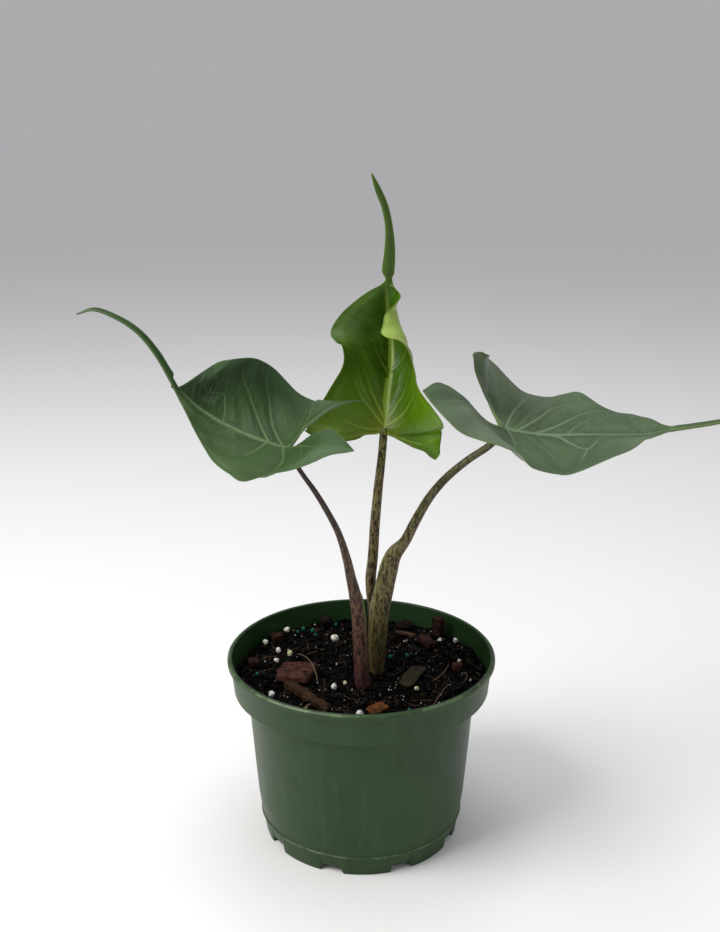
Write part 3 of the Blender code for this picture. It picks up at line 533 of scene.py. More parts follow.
def blade_layers(sheet, t, share, rim, body, field):
    """The upper and lower faces: quilting, a wavy margin, veins and, below, the keel of the midrib."""
    grids, tops, spans = sheet
    ratio, strong, plain = field
    quilt = QUILT * (1 - np.exp(-((plain / 6.5) ** 2))) * ramp(rim, 0.5, 9.0) * body
    wave = MARGIN_WAVE * noise(grids, 13.0, 3) * np.exp(-((rim / 7.0) ** 2)) * body
    fine = 0.05 * noise(grids, 1.6, 4) * body
    ridge = VEIN_RIDGE * strong * np.exp(-(ratio**2)) * body
    lift = quilt + wave + fine
    tail_t = np.clip(t - 0.97, 0, 1)[:, None]
    lens = ramp(tail_t, 0, 0.12) * (1 - share**2)[None, :] * spans[:, :, -1:] * 0.35
    upper = grids + tops * (lift + ridge + HALF_SKIN + lens)[..., None]
    keel = np.interp(t, [-1, -0.15, 0, 0.5, 1, 1.2, 2], [0, 0.2, 2.3, 1.5, 0.9, 0.5, 0.1])[None, :, None]
    keel = keel * np.exp(-((spans / 2.2) ** 2))
    under_ridge = strong * np.exp(-((ratio / 1.3) ** 2)) * body
    lower = grids + tops * (lift - HALF_SKIN - under_ridge - keel - lens * 0.8)[..., None]
    return upper, lower


def blade_tints(name, grids, t, share, body, field):
    """The colours of the upper and the lower face, with the painted light and shade of the zones."""
    _, strong, plain = field
    tones = {key: tone(value) for key, value in COLOURS[name].items()}
    tint = np.broadcast_to(tones["top"], grids.shape).copy()
    for which, zt, zs, rt, rs, colour, amount in COLOUR_AND_PAINTED_LIGHT_ZONES[name]:
        half = HALVES.index(which)
        w = amount * np.exp(-(((t - zt) / rt) ** 2)[:, None] - ((share - zs) / rs) ** 2)[..., None]
        tint[half] = tint[half] * (1 - w) + tone(colour) * w
    cloud = 1 + 0.17 * noise(grids, 17.0, 7) + 0.09 * noise(grids, 5.0, 8)
    # Painted shade: a darker band beside each vein, about 2 mm out on its shadow side.
    cloud = (cloud * (1 - 0.22 * strong * np.exp(-(((plain - 2.2) / 1.6) ** 2)) * body))[..., None]
    tail = ramp(t, 0.9, 1.08)[None, :, None, None]
    tint = tint * cloud * (1 - tail) + tones["tail"] * tail
    below = np.broadcast_to(tones["under"], grids.shape) * cloud
    below = below * (1 - tail) + tones["tail"] * tail
    if name == "center":
        # The margin that rolls over to the front catches the light.
        rolled = (ramp(t, 0.4, 0.55) * ramp(t, 1.0, 0.9))[:, None, None] * ramp(share, 0.35, 0.6)[:, None]
        below[1] = below[1] * (1 - rolled) + tone((204, 234, 112)) * rolled
    return tint, below


def blade_faces(rows, columns, petiole):
    """Quads above, below and round the rim. From the petiole on the two halves share the midrib's points."""
    ids = np.arange(2 * rows * columns).reshape(2, rows, columns)
    ids[1, petiole:, 0] = ids[0, petiole:, 0]
    a, b, c, d = ids[:, :-1, :-1], ids[:, 1:, :-1], ids[:, 1:, 1:], ids[:, :-1, 1:]
    quads = np.stack([a, b, c, d], -1)
    quads = np.concatenate([quads[0].reshape(-1, 4)[:, ::-1], quads[1].reshape(-1, 4)])
    edges = {(f[k], f[(k + 1) % 4]) for f in quads.tolist() for k in range(4)}
    rim_faces = [(q, p, p + ids.size, q + ids.size) for p, q in edges if (q, p) not in edges]
    return np.concatenate([quads, quads[:, ::-1] + ids.size, np.array(sorted(rim_faces))])


def blade(name, mat):
    """One leaf blade, from a fine sheet read through the CAD's stations."""
    across = 64
    share = np.linspace(0, 1, across + 1)
    t = np.r_[np.linspace(-1, 0, 80), np.linspace(0, 1, 150)[1:], np.linspace(1, 2, 60)[1:]]
    petiole = int(np.argmin(np.abs(t)))
    grids, tops, spans, at = leaf_sheet(LEAVES[name], STATIONS, across)
    grids, tops, spans = through(grids, t), unit(through(tops, t)), through(spans[..., None], t)[..., 0]
    field = vein_field(name, grids, t, across, MIDRIBS[name])
    body = np.clip((1.12 - t) / 0.2, 0, 1)[:, None]
    wide = spans[:, :, -1:] - spans[:, :, :1]
    rim = np.minimum((1 - share) * wide, np.where((t < -0.02)[:, None], share * wide, 99.0))
    layers = blade_layers((grids, tops, spans), t, share, rim, body, field)
    for layer in layers:
        layer[0, petiole:, 0] = layer[1, petiole:, 0] = (layer[0, petiole:, 0] + layer[1, petiole:, 0]) / 2
    faces = blade_faces(len(t), len(share), petiole)
    points = np.concatenate([layer.reshape(-1, 3) for layer in layers])
    tints = blade_tints(name, grids, t, share, body, field)
    both_ways = spans * np.array([1, -1])[:, None, None]
    length = np.broadcast_to(np.interp(t, STATIONS, at)[None, :, None], spans.shape)
    flat = np.stack([length, both_ways, 0 * spans], -1)
    attributes = {
        "tint": np.concatenate([tint.reshape(-1, 3) for tint in tints]),
        "vein": np.tile(field[0].ravel(), 2),
        "vein_strength": np.tile((field[1] * body).ravel(), 2),
        "rim": np.tile(rim.ravel(), 2),
        "along": np.tile(flat.reshape(-1, 3) * 0.1, (2, 1)),
    }
    used = np.unique(faces)
    renumber = np.full(len(points), -1)
    renumber[used] = np.arange(len(used))
    attributes = {key: value[used] for key, value in attributes.items()}
    obj = mesh_object("leaf_" + name, points[used], renumber[faces], mat, attributes)
    place(obj, "leaf_" + name, "blade_" + name)


def leaf_material(name, roughness, coat, grain):
    """Leaf skin: fine side veins between the main ones, pale veins and margin, faint specks."""
    vein, margin = srgb(*COLOURS[name]["vein"]), srgb(*COLOURS[name]["margin"])
    m = Nodes("leaf_" + name, Coat_Weight=coat, Coat_Roughness=0.3, Specular_IOR_Level=0.15)
    flat = m.attribute("along", "Vector")
    # Fine side veins run out from the midrib and forward: noise drawn out along both slants.
    along = m.add("SeparateXYZ", {"Vector": flat})
    across = along.node.outputs[1]
    phase = m.math("SUBTRACT", along, m.times(m.math("POWER", m.math("ABSOLUTE", across), 0.85), grain))
    lines = m.add("CombineXYZ", {0: m.times(phase, 15.0), 1: m.times(across, 1.1)})
    fine = m.noise(lines, 1.0, 2.0, 0.6, 0.4)
    speck = m.noise(flat, 14.0, 4.0, 0.6)
    base = m.mix(m.ramp(fine, 0.45, 0.68, 0.0, 0.22), m.attribute("tint", "Color"), vein)
    base = m.mix(m.ramp(fine, 0.3, 0.48, 0.14, 0.0), base, (0.01, 0.03, 0.005))
    base = m.mix(m.ramp(speck, 0.35, 0.7, 0.0, 0.14), base, margin)
    ratio, strength = m.attribute("vein"), m.attribute("vein_strength")
    base = m.mix(m.times(m.ramp(ratio, 2.8, 0.8, 0.0, 0.1), strength), base, vein)
    base = m.mix(m.times(m.times(m.ramp(ratio, 1.15, 0.7), strength), 0.85), base, vein)
    # The pale margin: the blade's own paler rim, and on the left leaf also a painted edge highlight.
    base = m.mix(m.ramp(m.attribute("rim"), 1.1, 0.35, 0.0, 0.75), base, margin)
    bump = m.bump(m.math("ADD", m.times(fine, 0.6), m.times(speck, 0.25)), 0.0003, 0.6)
    rough = m.ramp(speck, 0.3, 0.7, roughness - 0.05, roughness + 0.07)
    return m.done(Base_Color=base, Roughness=rough, Normal=bump)


# Roughness, coat and how far the fine side veins slant forward.
LEAF_LOOKS = {"left": (0.4, 0.08, 0.55), "center": (0.3, 0.14, 0.9), "right": (0.42, 0.08, 0.8)}
for leaf_name, look in LEAF_LOOKS.items():
    blade(leaf_name, leaf_material(leaf_name, *look))


# ---------------------------------------------------------------- petioles
# Centre x, y, height above the mix, half width and half depth: the rows of the CAD petioles, and for each one
# more at the top, inside its blade. Like the ribs of the blades, they were listed and converted to
# millimetres by a script.
BURIED = 13.0  # how deep the stalks go into the mix
PETIOLES = {
    "left": [(1.2, -17, -BURIED, 4.6, 4.8), (1.2, -17, -4, 4.8, 5), (0.4, -17, 8.5, 4.4, 4.8),
             (-0.2, -17, 22.5, 4.2, 4.6), (-1, -18.8, 37, 4.1, 4.4), (-2.4, -21.3, 52, 3.8, 3.8),
             (-5.2, -24.4, 65.5, 2.8, 3), (-7.7, -27.7, 79, 2.3, 2.5), (-11.8, -32.5, 95, 1.8, 2.1),
             (-17.1, -37.1, 108, 1.6, 1.9), (-23.4, -42.2, 121, 1.4, 1.7), (-30.5, -48.3, 134, 1.2, 1.5),
             (-36.4, -54, 146.8, 1.2, 1.3)],
    "center": [(8.3, 3.2, -BURIED, 2.8, 2.8), (8.2, 3.2, 4.5, 2.9, 2.9), (7.8, 3, 19.5, 2.9, 2.9),
               (6.8, 3.4, 35.5, 2.9, 2.9), (5.3, 4.5, 53.5, 3, 3), (6.6, 5.6, 68.5, 2.9, 2.9),
               (7.5, 7, 85, 2.8, 2.8), (9.2, 8.6, 105, 2.6, 2.6), (11.3, 10.5, 125, 2.3, 2.3),
               (12.5, 13.2, 140.5, 2.2, 2)],
    "right": [(8.8, -3.6, -BURIED, 4.2, 4.8), (8.8, -3.6, 2.5, 4.2, 5), (9.1, -3.6, 19.5, 5.2, 5.6),
              (10.1, -4.1, 38, 5.6, 5.8), (12.7, -4.8, 53, 5.5, 5.6), (14.8, -5.5, 63, 5.2, 4.8),
              (18, -6.3, 73, 4.2, 3.8), (23.9, -6.9, 81.5, 3, 3.1), (29.6, -8.2, 94, 2.7, 2.9),
              (37, -9.7, 108, 2.4, 2.6), (45.3, -11.3, 119, 2.2, 2.4), (56.3, -13.3, 129.5, 2, 2.2),
              (67.7, -15.5, 138.5, 1.9, 2), (75, -16.4, 146.8, 1.8, 1.9)],
}
# The free edge of each sheath: heights above the mix, its angle round the stalk (-90 faces front) and how
# far it stands up.
SHEATHS = {
    "left": ([-5, 20, 45, 56, 62], [-50, -46, -36, -30, -26], [0.1, 0.3, 0.8, 1.4, 0.0]),
    "right": ([-5, 20, 40, 58, 76, 82], [-132, -134, -128, -150, -178, -184], [0.3, 0.5, 0.9, 1.3, 1.6, 0.0]),
}
# Colours up each stalk: heights above the mix and the colour there, then the colour of its mottles.
STALK_TONES = {
    "left": ([(0, (92, 50, 56)), (14, (124, 86, 76)), (45, (148, 116, 92)), (75, (138, 114, 88)),
              (110, (104, 84, 62)), (148, (66, 62, 40))], (66, 42, 42)),
    "center": ([(0, (96, 80, 50)), (40, (146, 126, 80)), (70, (166, 148, 94)), (110, (166, 152, 94)),
                (140, (142, 142, 76))], (40, 32, 20)),
    "right": ([(0, (118, 96, 66)), (25, (134, 122, 72)), (60, (174, 162, 108)), (90, (156, 146, 98)),
               (120, (118, 112, 70)), (147, (128, 132, 84))], (60, 56, 28)),
}


def sheath(name, high, turn, reach):
    """How far the stalk stands up and sinks along the sheath's edge, and how near each point is to it."""
    at, angles, amounts = SHEATHS[name]
    edge_angle = np.radians(np.interp(high, at, angles))
    amount = np.interp(high, at, amounts) * ramp(high, -6, 0)
    away = (turn - edge_angle + math.pi) % (2 * math.pi) - math.pi
    over = away * reach * (1 if name == "left" else -1)
    edge = np.exp(-((over / 0.55) ** 2)) * np.clip(amount, 0, 1)
    # The edge stands up, and the stalk sinks a little where it comes out from under it.
    raised = amount * 0.55 * np.exp(-((over / 0.5) ** 2))
    sunk = amount * 0.4 * ramp(over, 0.3, 0.9) * ramp(over, 5.5, 1.5)
    return raised, sunk, edge


def stalk_tint(name, points, high, turn, edge):
    """The stalk's colours by height, with a blush on the right stalk and green along the sheath's edge."""
    tones, _ = STALK_TONES[name]
    heights = [h for h, _ in tones]
    colours = np.array([srgb(*c) for _, c in tones])
    tint = np.stack([np.interp(high, heights, colours[:, k]) for k in range(3)], -1)
    tint = tint * (1 + 0.1 * noise(points, 9.0, 12))[..., None]
    if name == "right":
        facing = np.clip(np.cos(turn - math.radians(-20)), 0, 1)[None, :] ** 3
        blush = (facing * ramp(high, 20, 60) * ramp(high, 130, 80))[..., None]
        tint = tint * (1 - 0.55 * blush) + tone((158, 108, 96)) * 0.55 * blush
    return tint * (1 - edge[..., None]) + tone((150, 160, 84)) * edge[..., None]


def stalk(name, mat):
    """One petiole as a fine tube with the overlapping edge of its sheath."""
    rows = np.array(PETIOLES[name], float)
    steps, sides = 300, 64
    centre, _ = curve(rows[:, :3], steps)
    s = np.r_[0, np.cumsum(np.linalg.norm(np.diff(rows[:, :3], axis=0), axis=1))]
    u = np.linspace(0, s[-1], steps)
    half_w, half_d = eased(s, rows[:, 3], u)[:, None], eased(s, rows[:, 4], u)[:, None]
    along = unit(np.gradient(centre, axis=0))
    e1 = unit(np.cross((0.0, 1.0, 0.0), along))
    e2 = np.cross(along, e1)
    turn = round_turn(sides)
    high = centre[:, 2][:, None]
    reach = np.sqrt(half_w * half_d)
    nothing = np.zeros((steps, sides))
    drawn_out = np.stack([nothing + turn * 3, nothing + u[:, None] * 0.15, nothing], -1)
    swell, edge = 0.05 * noise(drawn_out, 1.0, 5), nothing
    if name in SHEATHS:
        raised, sunk, edge = sheath(name, high, turn, reach)
        swell = swell + raised - sunk
    points = centre[:, None] + (0, 0, SOIL_Z)
    points = points + e1[:, None] * ((half_w + swell) * np.cos(turn))[..., None]
    points = points + e2[:, None] * ((half_d + swell) * np.sin(turn))[..., None]
    tint = stalk_tint(name, points, high, turn, edge)
    flat = np.stack([turn * reach, nothing + u[:, None], nothing], -1) * 0.1
    faces = tube_faces(steps, sides, rows_first=False).tolist()
    faces += [range(sides)[::-1], range((steps - 1) * sides, steps * sides)]
    attributes = {"tint": tint.reshape(-1, 3), "edge": edge.ravel(), "along": flat.reshape(-1, 3)}
    obj = mesh_object("stalk_" + name, points.reshape(-1, 3), faces, mat, attributes)
    place(obj, "petiole_" + name, "petiole_" + name)


def stalk_material(name, amount, roughness):
    """Satin stalk skin with dark mottles drawn out along the stalk."""
    m = Nodes("stalk_" + name, Coat_Weight=0.08, Coat_Roughness=0.3, Specular_IOR_Level=0.2)
    flat = m.attribute("along", "Vector")
    position = m.position()
    mottle = srgb(*STALK_TONES[name][1])
    long_marks = m.noise(m.stretched(position, (760.0, 760.0, 210.0)), 1.0, 3.0, 0.6, 0.6)
    small_marks = m.noise(m.stretched(position, (1700.0, 1700.0, 600.0)), 1.0, 2.0, 0.6)
    dark = m.ramp(long_marks, 0.48, 0.56, 0.0, amount)
    dark = m.math("MAXIMUM", dark, m.ramp(small_marks, 0.52, 0.6, 0.0, amount * 0.8))
    dark = m.times(dark, m.ramp(m.attribute("edge"), 0.6, 0.2))
    base = m.mix(dark, m.attribute("tint", "Color"), mottle)
    lines = m.noise(m.stretched(flat, (16.0, 0.9, 1.0)), 1.0, 2.0, 0.5)
    bump = m.bump(m.math("ADD", lines, m.times(small_marks, 0.4)), 0.00018, 0.5)
    rough = m.ramp(small_marks, 0.3, 0.7, roughness - 0.05, roughness + 0.08)
    return m.done(Base_Color=base, Roughness=rough, Normal=bump)


for stalk_name, amount, rough in (("left", 0.9, 0.42), ("center", 0.92, 0.45), ("right", 0.9, 0.42)):
    stalk(stalk_name, stalk_material(stalk_name, amount, rough))


# ---------------------------------------------------------------- pot
def body_r(h):
    return LINE_R + (BODY_R - LINE_R) * ((h - FOOT_H) / (BAND_Z - FOOT_H)) ** 0.85


def rounded(corners, spacing):
    """An open (r, z) profile from corners (r, z, radius): arcs at the corners and even points between."""
    xy = np.array([c[:2] for c in corners], float)
    out = [xy[0]]
    for k in range(1, len(xy) - 1):
        before, after = unit(xy[k - 1] - xy[k]), unit(xy[k + 1] - xy[k])
        half = math.acos(np.clip(before @ after, -1, 1)) / 2
        space = min(np.linalg.norm(xy[k - 1] - xy[k]), np.linalg.norm(xy[k + 1] - xy[k])) * 0.48
        back = min(corners[k][2] / max(math.tan(half), 1e-3), space)
        if back < 0.02:
            out.append(xy[k])
            continue
        start, end = xy[k] + before * back, xy[k] + after * back
        for u in np.linspace(0, 1, 6):
            out.append(start * (1 - u) ** 2 + xy[k] * 2 * u * (1 - u) + end * u**2)
    out.append(xy[-1])
    dense = [out[0]]
    for p, q in zip(out[:-1], out[1:]):
        long = np.linalg.norm(q - p)
        if long > 1.2:
            n = max(1, int(long / spacing))
            shares = [0.25 / long, *(np.arange(1, n) / n), 1 - 0.25 / long]
            dense += [p + (q - p) * u for u in shares]
        dense.append(q)
    return np.array(dense)


POT_RING = FOOT_R - WALL - 1.1  # inside of the ring that the pot stands on


def pot_profile():
    """The pot's cut edge, from the middle of its underside out, up, over the rim and down to the floor."""
    r, band = RIM_R, RIM_R - BEAD
    start = [(0, 0, 0), (PAD_R, 0, 0.5), (PAD_R + 1, FLOOR_UP, 0.5)]
    start += [(POT_RING, FLOOR_UP, 0.5), (POT_RING, 0, 0.4)]
    outer = [(FOOT_R - 0.3, 0, 0.5), (LINE_R - 0.9, FOOT_H - 0.9, 0.2), (LINE_R, FOOT_H - 0.5, 0.3)]
    outer += [(LINE_R, FOOT_H + 0.25, 0.3), (LINE_R - 0.5, FOOT_H + 0.8, 0.3)]
    outer += [(body_r(h) - 0.1, h, 9.0) for h in (24.0, 38.0, 52.0, 66.0, 78.0)]
    outer += [(BODY_R, BAND_Z + 0.1, 0.9), (BAND_R - 1.0, BAND_Z, 0.4), (BAND_R - 0.3, BAND_Z + 0.7, 0.4)]
    outer += [(BAND_R - 0.35, BAND_Z + 1.5, 0.2), (band - 0.25, POT_H - 4.3, 0.5)]
    outer += [(band + 0.1, POT_H - 3.6, 0.4), (r, POT_H - 2.9, 0.9), (r, POT_H - 0.9, 0.9)]
    outer += [(r - 0.9, POT_H, 0.8), (band - WALL + 0.1, POT_H, 0.7)]
    inner = [(band - WALL - 0.2, POT_H - 3.0, 0.8), (BAND_R - 0.4 - WALL, BAND_Z + WALL + 0.4, 0.6)]
    inner += [(BODY_R - WALL, BAND_Z + WALL, 0.8), *((body_r(h) - WALL, h, 9.0) for h in (60.0, 36.0))]
    inner += [(FOOT_R - WALL + 1.6, FOOT_H + 1.0, 0.5), (FOOT_R - WALL + 1.0, FLOOR_Z, 0.8), (0, FLOOR_Z, 0)]
    return rounded(start + outer + inner, 2.6)


def pot_mesh():
    """The pot turned from its profile, with the foot's notches and the unevenness of thin plastic."""
    profile = pot_profile()
    inside_from = int(np.argmax(profile[:, 1]))
    steps = 450
    angle = round_turn(steps)
    n = len(profile)
    away = (np.degrees(angle) - FIRST_NOTCH) % (360 / NOTCHES)
    away = np.minimum(away, 360 / NOTCHES - away)
    arc = np.radians(away) * FOOT_R
    lift = NOTCH_H * ramp(arc, NOTCH_W / 2 + 0.5, NOTCH_W / 2 - 0.7)[:, None]
    radius, z = (np.broadcast_to(column, (steps, n)) for column in profile.T)
    foot = (np.arange(n) < inside_from) & (profile[:, 0] > POT_RING - 0.01)
    outside = foot & (profile[:, 0] > POT_RING + 0.5) & (profile[:, 1] < FOOT_H)
    within = foot & ~outside & (profile[:, 1] < FLOOR_UP)
    z = np.where(outside, lift + z * (FOOT_H - lift) / FOOT_H, z)
    z = np.where(within, lift + z * (FLOOR_UP - lift) / FLOOR_UP, z)
    cos, sin = np.cos(angle)[:, None], np.sin(angle)[:, None]
    where = np.stack([radius * cos, radius * sin, z], -1)
    # Thin moulded plastic is never quite round: the wall and the rim wander by a fraction of a millimetre.
    wander = 0.22 * noise(where * (1, 1, 0.35), 46.0, 21) + 0.05 * noise(where * (1, 1, 0.5), 14.0, 22)
    wander = wander * ramp(radius, 30, 55)
    where[..., 0] += wander * cos
    where[..., 1] += wander * sin
    where[..., 2] += 0.18 * noise(where * (1, 1, 0), 60.0, 23) * ramp(z, BAND_Z - 6, POT_H)
    ids = np.arange(steps * n).reshape(steps, n)
    beside = np.roll(ids, -1, axis=0)
    faces = np.stack([ids[:, :-1], beside[:, :-1], beside[:, 1:], ids[:, 1:]], -1).reshape(-1, 4)
    within_wall = np.broadcast_to((np.arange(n) > inside_from).astype(float), (steps, n))
    # Paler rim top and foot line, partly rubbed plastic and partly a painted highlight along these edges.
    top_edge = np.exp(-(((z - POT_H + 0.5) / 0.55) ** 2)) * (radius > RIM_R - 1.3)
    foot_edge = np.exp(-(((z - FOOT_H + 0.1) / 0.45) ** 2)) * (np.abs(radius - LINE_R) < 0.5)
    attributes = {"inner": within_wall.ravel(), "worn_and_highlit_edge": (top_edge + foot_edge).ravel()}
    return where.reshape(-1, 3), faces, attributes


def pot_material():
    """Moulded green plastic, dusty streaks, scuffs, fine scratches; a paler rim top and foot line, partly
    rubbed and partly painted highlight; painted shade inside.
    """
    m = Nodes("pot_green", Specular_IOR_Level=0.3)
    position = m.position()
    cloud = m.noise(position, 22.0, 4.0, 0.55)
    streak = m.noise(m.stretched(position, (260.0, 260.0, 16.0)), 1.0, 3.0, 0.6)
    grain = m.noise(position, 900.0, 3.0, 0.6)
    green = m.mix(m.ramp(cloud, 0.35, 0.65), srgb(46, 78, 36), srgb(54, 90, 42))
    green = m.mix(m.ramp(streak, 0.5, 0.72, 0.0, 0.25), green, srgb(84, 118, 72))
    # Scuffs: pale specks thrown round the band and the foot, and fine scratches.
    speck = m.voronoi(m.stretched(position, (330.0, 330.0, 520.0)), 1.0)
    patch = m.noise(position, 55.0, 4.0, 0.65)
    scuff = m.times(m.ramp(speck, 0.16, 0.06), m.ramp(patch, 0.56, 0.68))
    scratch = m.noise(m.stretched(position, (70.0, 70.0, 700.0)), 1.0, 2.0, 0.4, 1.4)
    near_line = m.ramp(m.math("ABSOLUTE", m.math("SUBTRACT", scratch, 0.5)), 0.006, 0.001)
    scuff = m.math("MAXIMUM", scuff, m.times(near_line, m.ramp(patch, 0.52, 0.62, 0.0, 0.5)))
    green = m.mix(m.times(scuff, 0.5), green, srgb(132, 150, 124))
    # Painted highlight, partly rubbed plastic: a paler rim top and foot line, broken up by noise.
    wear_and_highlight = m.ramp(m.noise(position, 90.0, 4.0, 0.7), 0.42, 0.6, 0.1, 0.75)
    green = m.mix(m.times(m.attribute("worn_and_highlit_edge"), wear_and_highlight), green, srgb(150, 176, 132))
    # Painted shade: the inside of the pot is painted a darker green.
    green = m.mix(m.attribute("inner"), green, srgb(40, 72, 34))
    height = m.math("ADD", m.times(grain, 0.25), m.times(streak, 0.5))
    height = m.math("SUBTRACT", height, m.times(scuff, 0.5))
    bump = m.bump(height, 0.00012, 0.6)
    rough = m.math("ADD", m.ramp(cloud, 0.3, 0.7, 0.36, 0.46), m.times(scuff, 0.3))
    return m.done(Base_Color=green, Roughness=rough, Normal=bump)


points, faces, attributes = pot_mesh()
place(mesh_object("pot_shell", points, faces, pot_material(), attributes), "pot", "pot")


# ---------------------------------------------------------------- growing mix
rng = np.random.default_rng(7)


def ground(x, y):
    """Height of the growing mix's plain surface, as in the CAD."""
    mound = 2.2 * np.exp(-((x - 7) ** 2 + (y + 3) ** 2) / 420.0)
    low = 0.7 * np.sin(x * 0.16 + 1.3) * np.cos(y * 0.13 - 0.4)
    return SOIL_Z + mound + low + 0.45 * np.sin(x * 0.31 - y * 0.22)


def surface(x, y):
    """The same surface with the lumps of the mix."""
    flat = np.stack([x, y, 0 * x], -1)
    lumps = 0.75 * noise(flat, 9.0, 31) + 0.5 * noise(flat, 3.6, 32) + 0.32 * noise(flat, 1.5, 33)
    return ground(x, y) + lumps - 0.35


def mix_bed(mat):
    """The mix's lumpy surface, with a skirt down inside the pot."""
    steps, rows = 330, 150
    angle = round_turn(steps)
    r = SOIL_R * np.linspace(0.004, 1.0, rows)
    x, y = r[:, None] * np.cos(angle), r[:, None] * np.sin(angle)
    top = np.stack([x, y, surface(x, y)], -1)
    skirt = np.stack([x[-1], y[-1], np.full(steps, BAND_Z + 2.0)], -1)[None]
    points = np.concatenate([top, skirt])
    dark = tone((5, 4, 4)) * (1 + 0.35 * noise(points, 5.0, 34))[..., None]
    tint = {"tint": dark.reshape(-1, 3)}
    return mesh_object("mix_bed", points.reshape(-1, 3), tube_faces(rows + 1, steps), mat, tint)


def ball(subdivisions):
    """Points and triangles of a ball of radius 1."""
    work = bmesh.new()
    bmesh.ops.create_icosphere(work, subdivisions=subdivisions, radius=1.0)
    points = np.array([v.co for v in work.verts])
    faces = np.array([[v.index for v in f.verts] for f in work.faces])
    work.free()
    return points, faces


def turns_of(count):
    """Random turns, as 3 x 3 matrices."""
    w, x, y, z = unit(rng.normal(size=(count, 4))).T
    rows = [[1 - 2 * (y * y + z * z), 2 * (x * y - z * w), 2 * (x * z + y * w)],
            [2 * (x * y + z * w), 1 - 2 * (x * x + z * z), 2 * (y * z - x * w)],
            [2 * (x * z - y * w), 2 * (y * z + x * w), 1 - 2 * (x * x + y * y)]]
    return np.moveaxis(np.array(rows), -1, 0)


def spread(count):
    """Random places on the mix, in millimetres, even over its area."""
    r, a = SOIL_R * np.sqrt(rng.uniform(0.0, 0.985, count)), rng.uniform(0, 2 * math.pi, count)
    return r * np.cos(a), r * np.sin(a)


def crumbs(name, count, sizes, flat, colours, weights, mat, sunk):
    """Many small angular grains as one mesh, each in its own colour. sizes: middle size and spread."""
    base, faces = ball(1)
    x, y = spread(count)
    size = np.exp(rng.normal(math.log(sizes[0]), sizes[1], count))
    scale = size[:, None] * rng.uniform((0.7, 0.55, flat), (1.2, 1.0, flat + 0.35), (count, 3)) / 2
    shape = base[None] * scale[:, None] * (1 + rng.uniform(-0.22, 0.22, (count, len(base), 1)))
    shape = np.einsum("nij,nkj->nki", turns_of(count), shape)
    z = surface(x, y) + size * rng.uniform(-sunk, 0.35, count)
    shape = shape + np.stack([x, y, z], -1)[:, None]
    far = np.hypot(shape[..., 0], shape[..., 1]).max(1)
    keep = far < SOIL_R + 0.2
    shape, count = shape[keep], int(keep.sum())
    tones = np.array([srgb(*c) for c in colours])[rng.choice(len(colours), count, p=weights)]
    tones = tones * rng.uniform(0.7, 1.3, (count, 1))
    all_faces = (faces[None] + (np.arange(count) * len(base))[:, None, None]).reshape(-1, 3)
    tint = np.repeat(tones, len(base), axis=0)
    return mesh_object(name, shape.reshape(-1, 3), all_faces, mat, {"tint": tint}, smooth=False)


def fibres(name, count, mat):
    """Fine roots and fibres that lie in the mix."""
    points, faces, tint = [], [], []
    x0, y0 = spread(count)
    tones = np.array([srgb(*c) for c in ((96, 70, 54), (126, 100, 76), (60, 44, 36), (150, 122, 92))])
    for k in range(count):
        n = 9
        heading = rng.uniform(0, 2 * math.pi) + np.cumsum(rng.normal(0, 0.28, n))
        step = rng.uniform(0.5, 1.5)
        x, y = x0[k] + np.cumsum(np.cos(heading)) * step, y0[k] + np.cumsum(np.sin(heading)) * step
        if np.hypot(x, y).max() > SOIL_R - 0.5:
            continue
        lift = rng.uniform(-0.3, 0.9) + rng.uniform(0, 1.3) * np.sin(np.linspace(0, math.pi, n)) ** 2
        z = surface(x, y) + lift
        z = np.convolve(np.r_[z[0], z, z[-1]], (0.25, 0.5, 0.25), "valid")
        r = rng.uniform(0.07, 0.17)
        first = len(points)
        for i in range(n):
            side = (-math.sin(heading[i]), math.cos(heading[i]))
            for a in (0, 2.09, 4.19):  # three corners round the fibre
                out = r * math.cos(a)
                points.append((x[i] + side[0] * out, y[i] + side[1] * out, z[i] + r * math.sin(a)))
        for i in range(n - 1):
            for a in range(3):
                b = (a + 1) % 3
                p = first + i * 3
                faces.append((p + a, p + b, p + 3 + b, p + 3 + a))
        tint += [tones[rng.integers(len(tones))]] * (n * 3)
    return mesh_object(name, points, faces, mat, {"tint": np.array(tint)})


def mix_material(name, low, high, coat, bumps):
    """A grainy surface whose roughness wanders from low to high, with its colour from the mesh."""
    m = Nodes(name, Coat_Weight=coat, Coat_Roughness=0.18, Specular_IOR_Level=0.05)
    position = m.position()
    grain = m.noise(position, 1500.0, 4.0, 0.65)
    wet = m.noise(position, 160.0, 3.0, 0.6)
    base = m.mix(m.ramp(grain, 0.35, 0.7, 0.0, 0.5), m.attribute("tint", "Color"), srgb(8, 6, 6))
    rough = m.ramp(wet, 0.38, 0.62, low, high)
    return m.done(Base_Color=base, Roughness=rough, Normal=m.bump(grain, 0.00035, bumps))


# The last, pale colour, on a few crumbs, is painted glints: bright flakes that stand in for the glints of the
# wet mix.
DARK = ((6, 5, 4), (9, 7, 6), (16, 12, 10), (30, 20, 16), (4, 4, 3), (66, 46, 38), (150, 128, 104))
DARK_SHARES = (0.3, 0.28, 0.17, 0.08, 0.12, 0.035, 0.015)
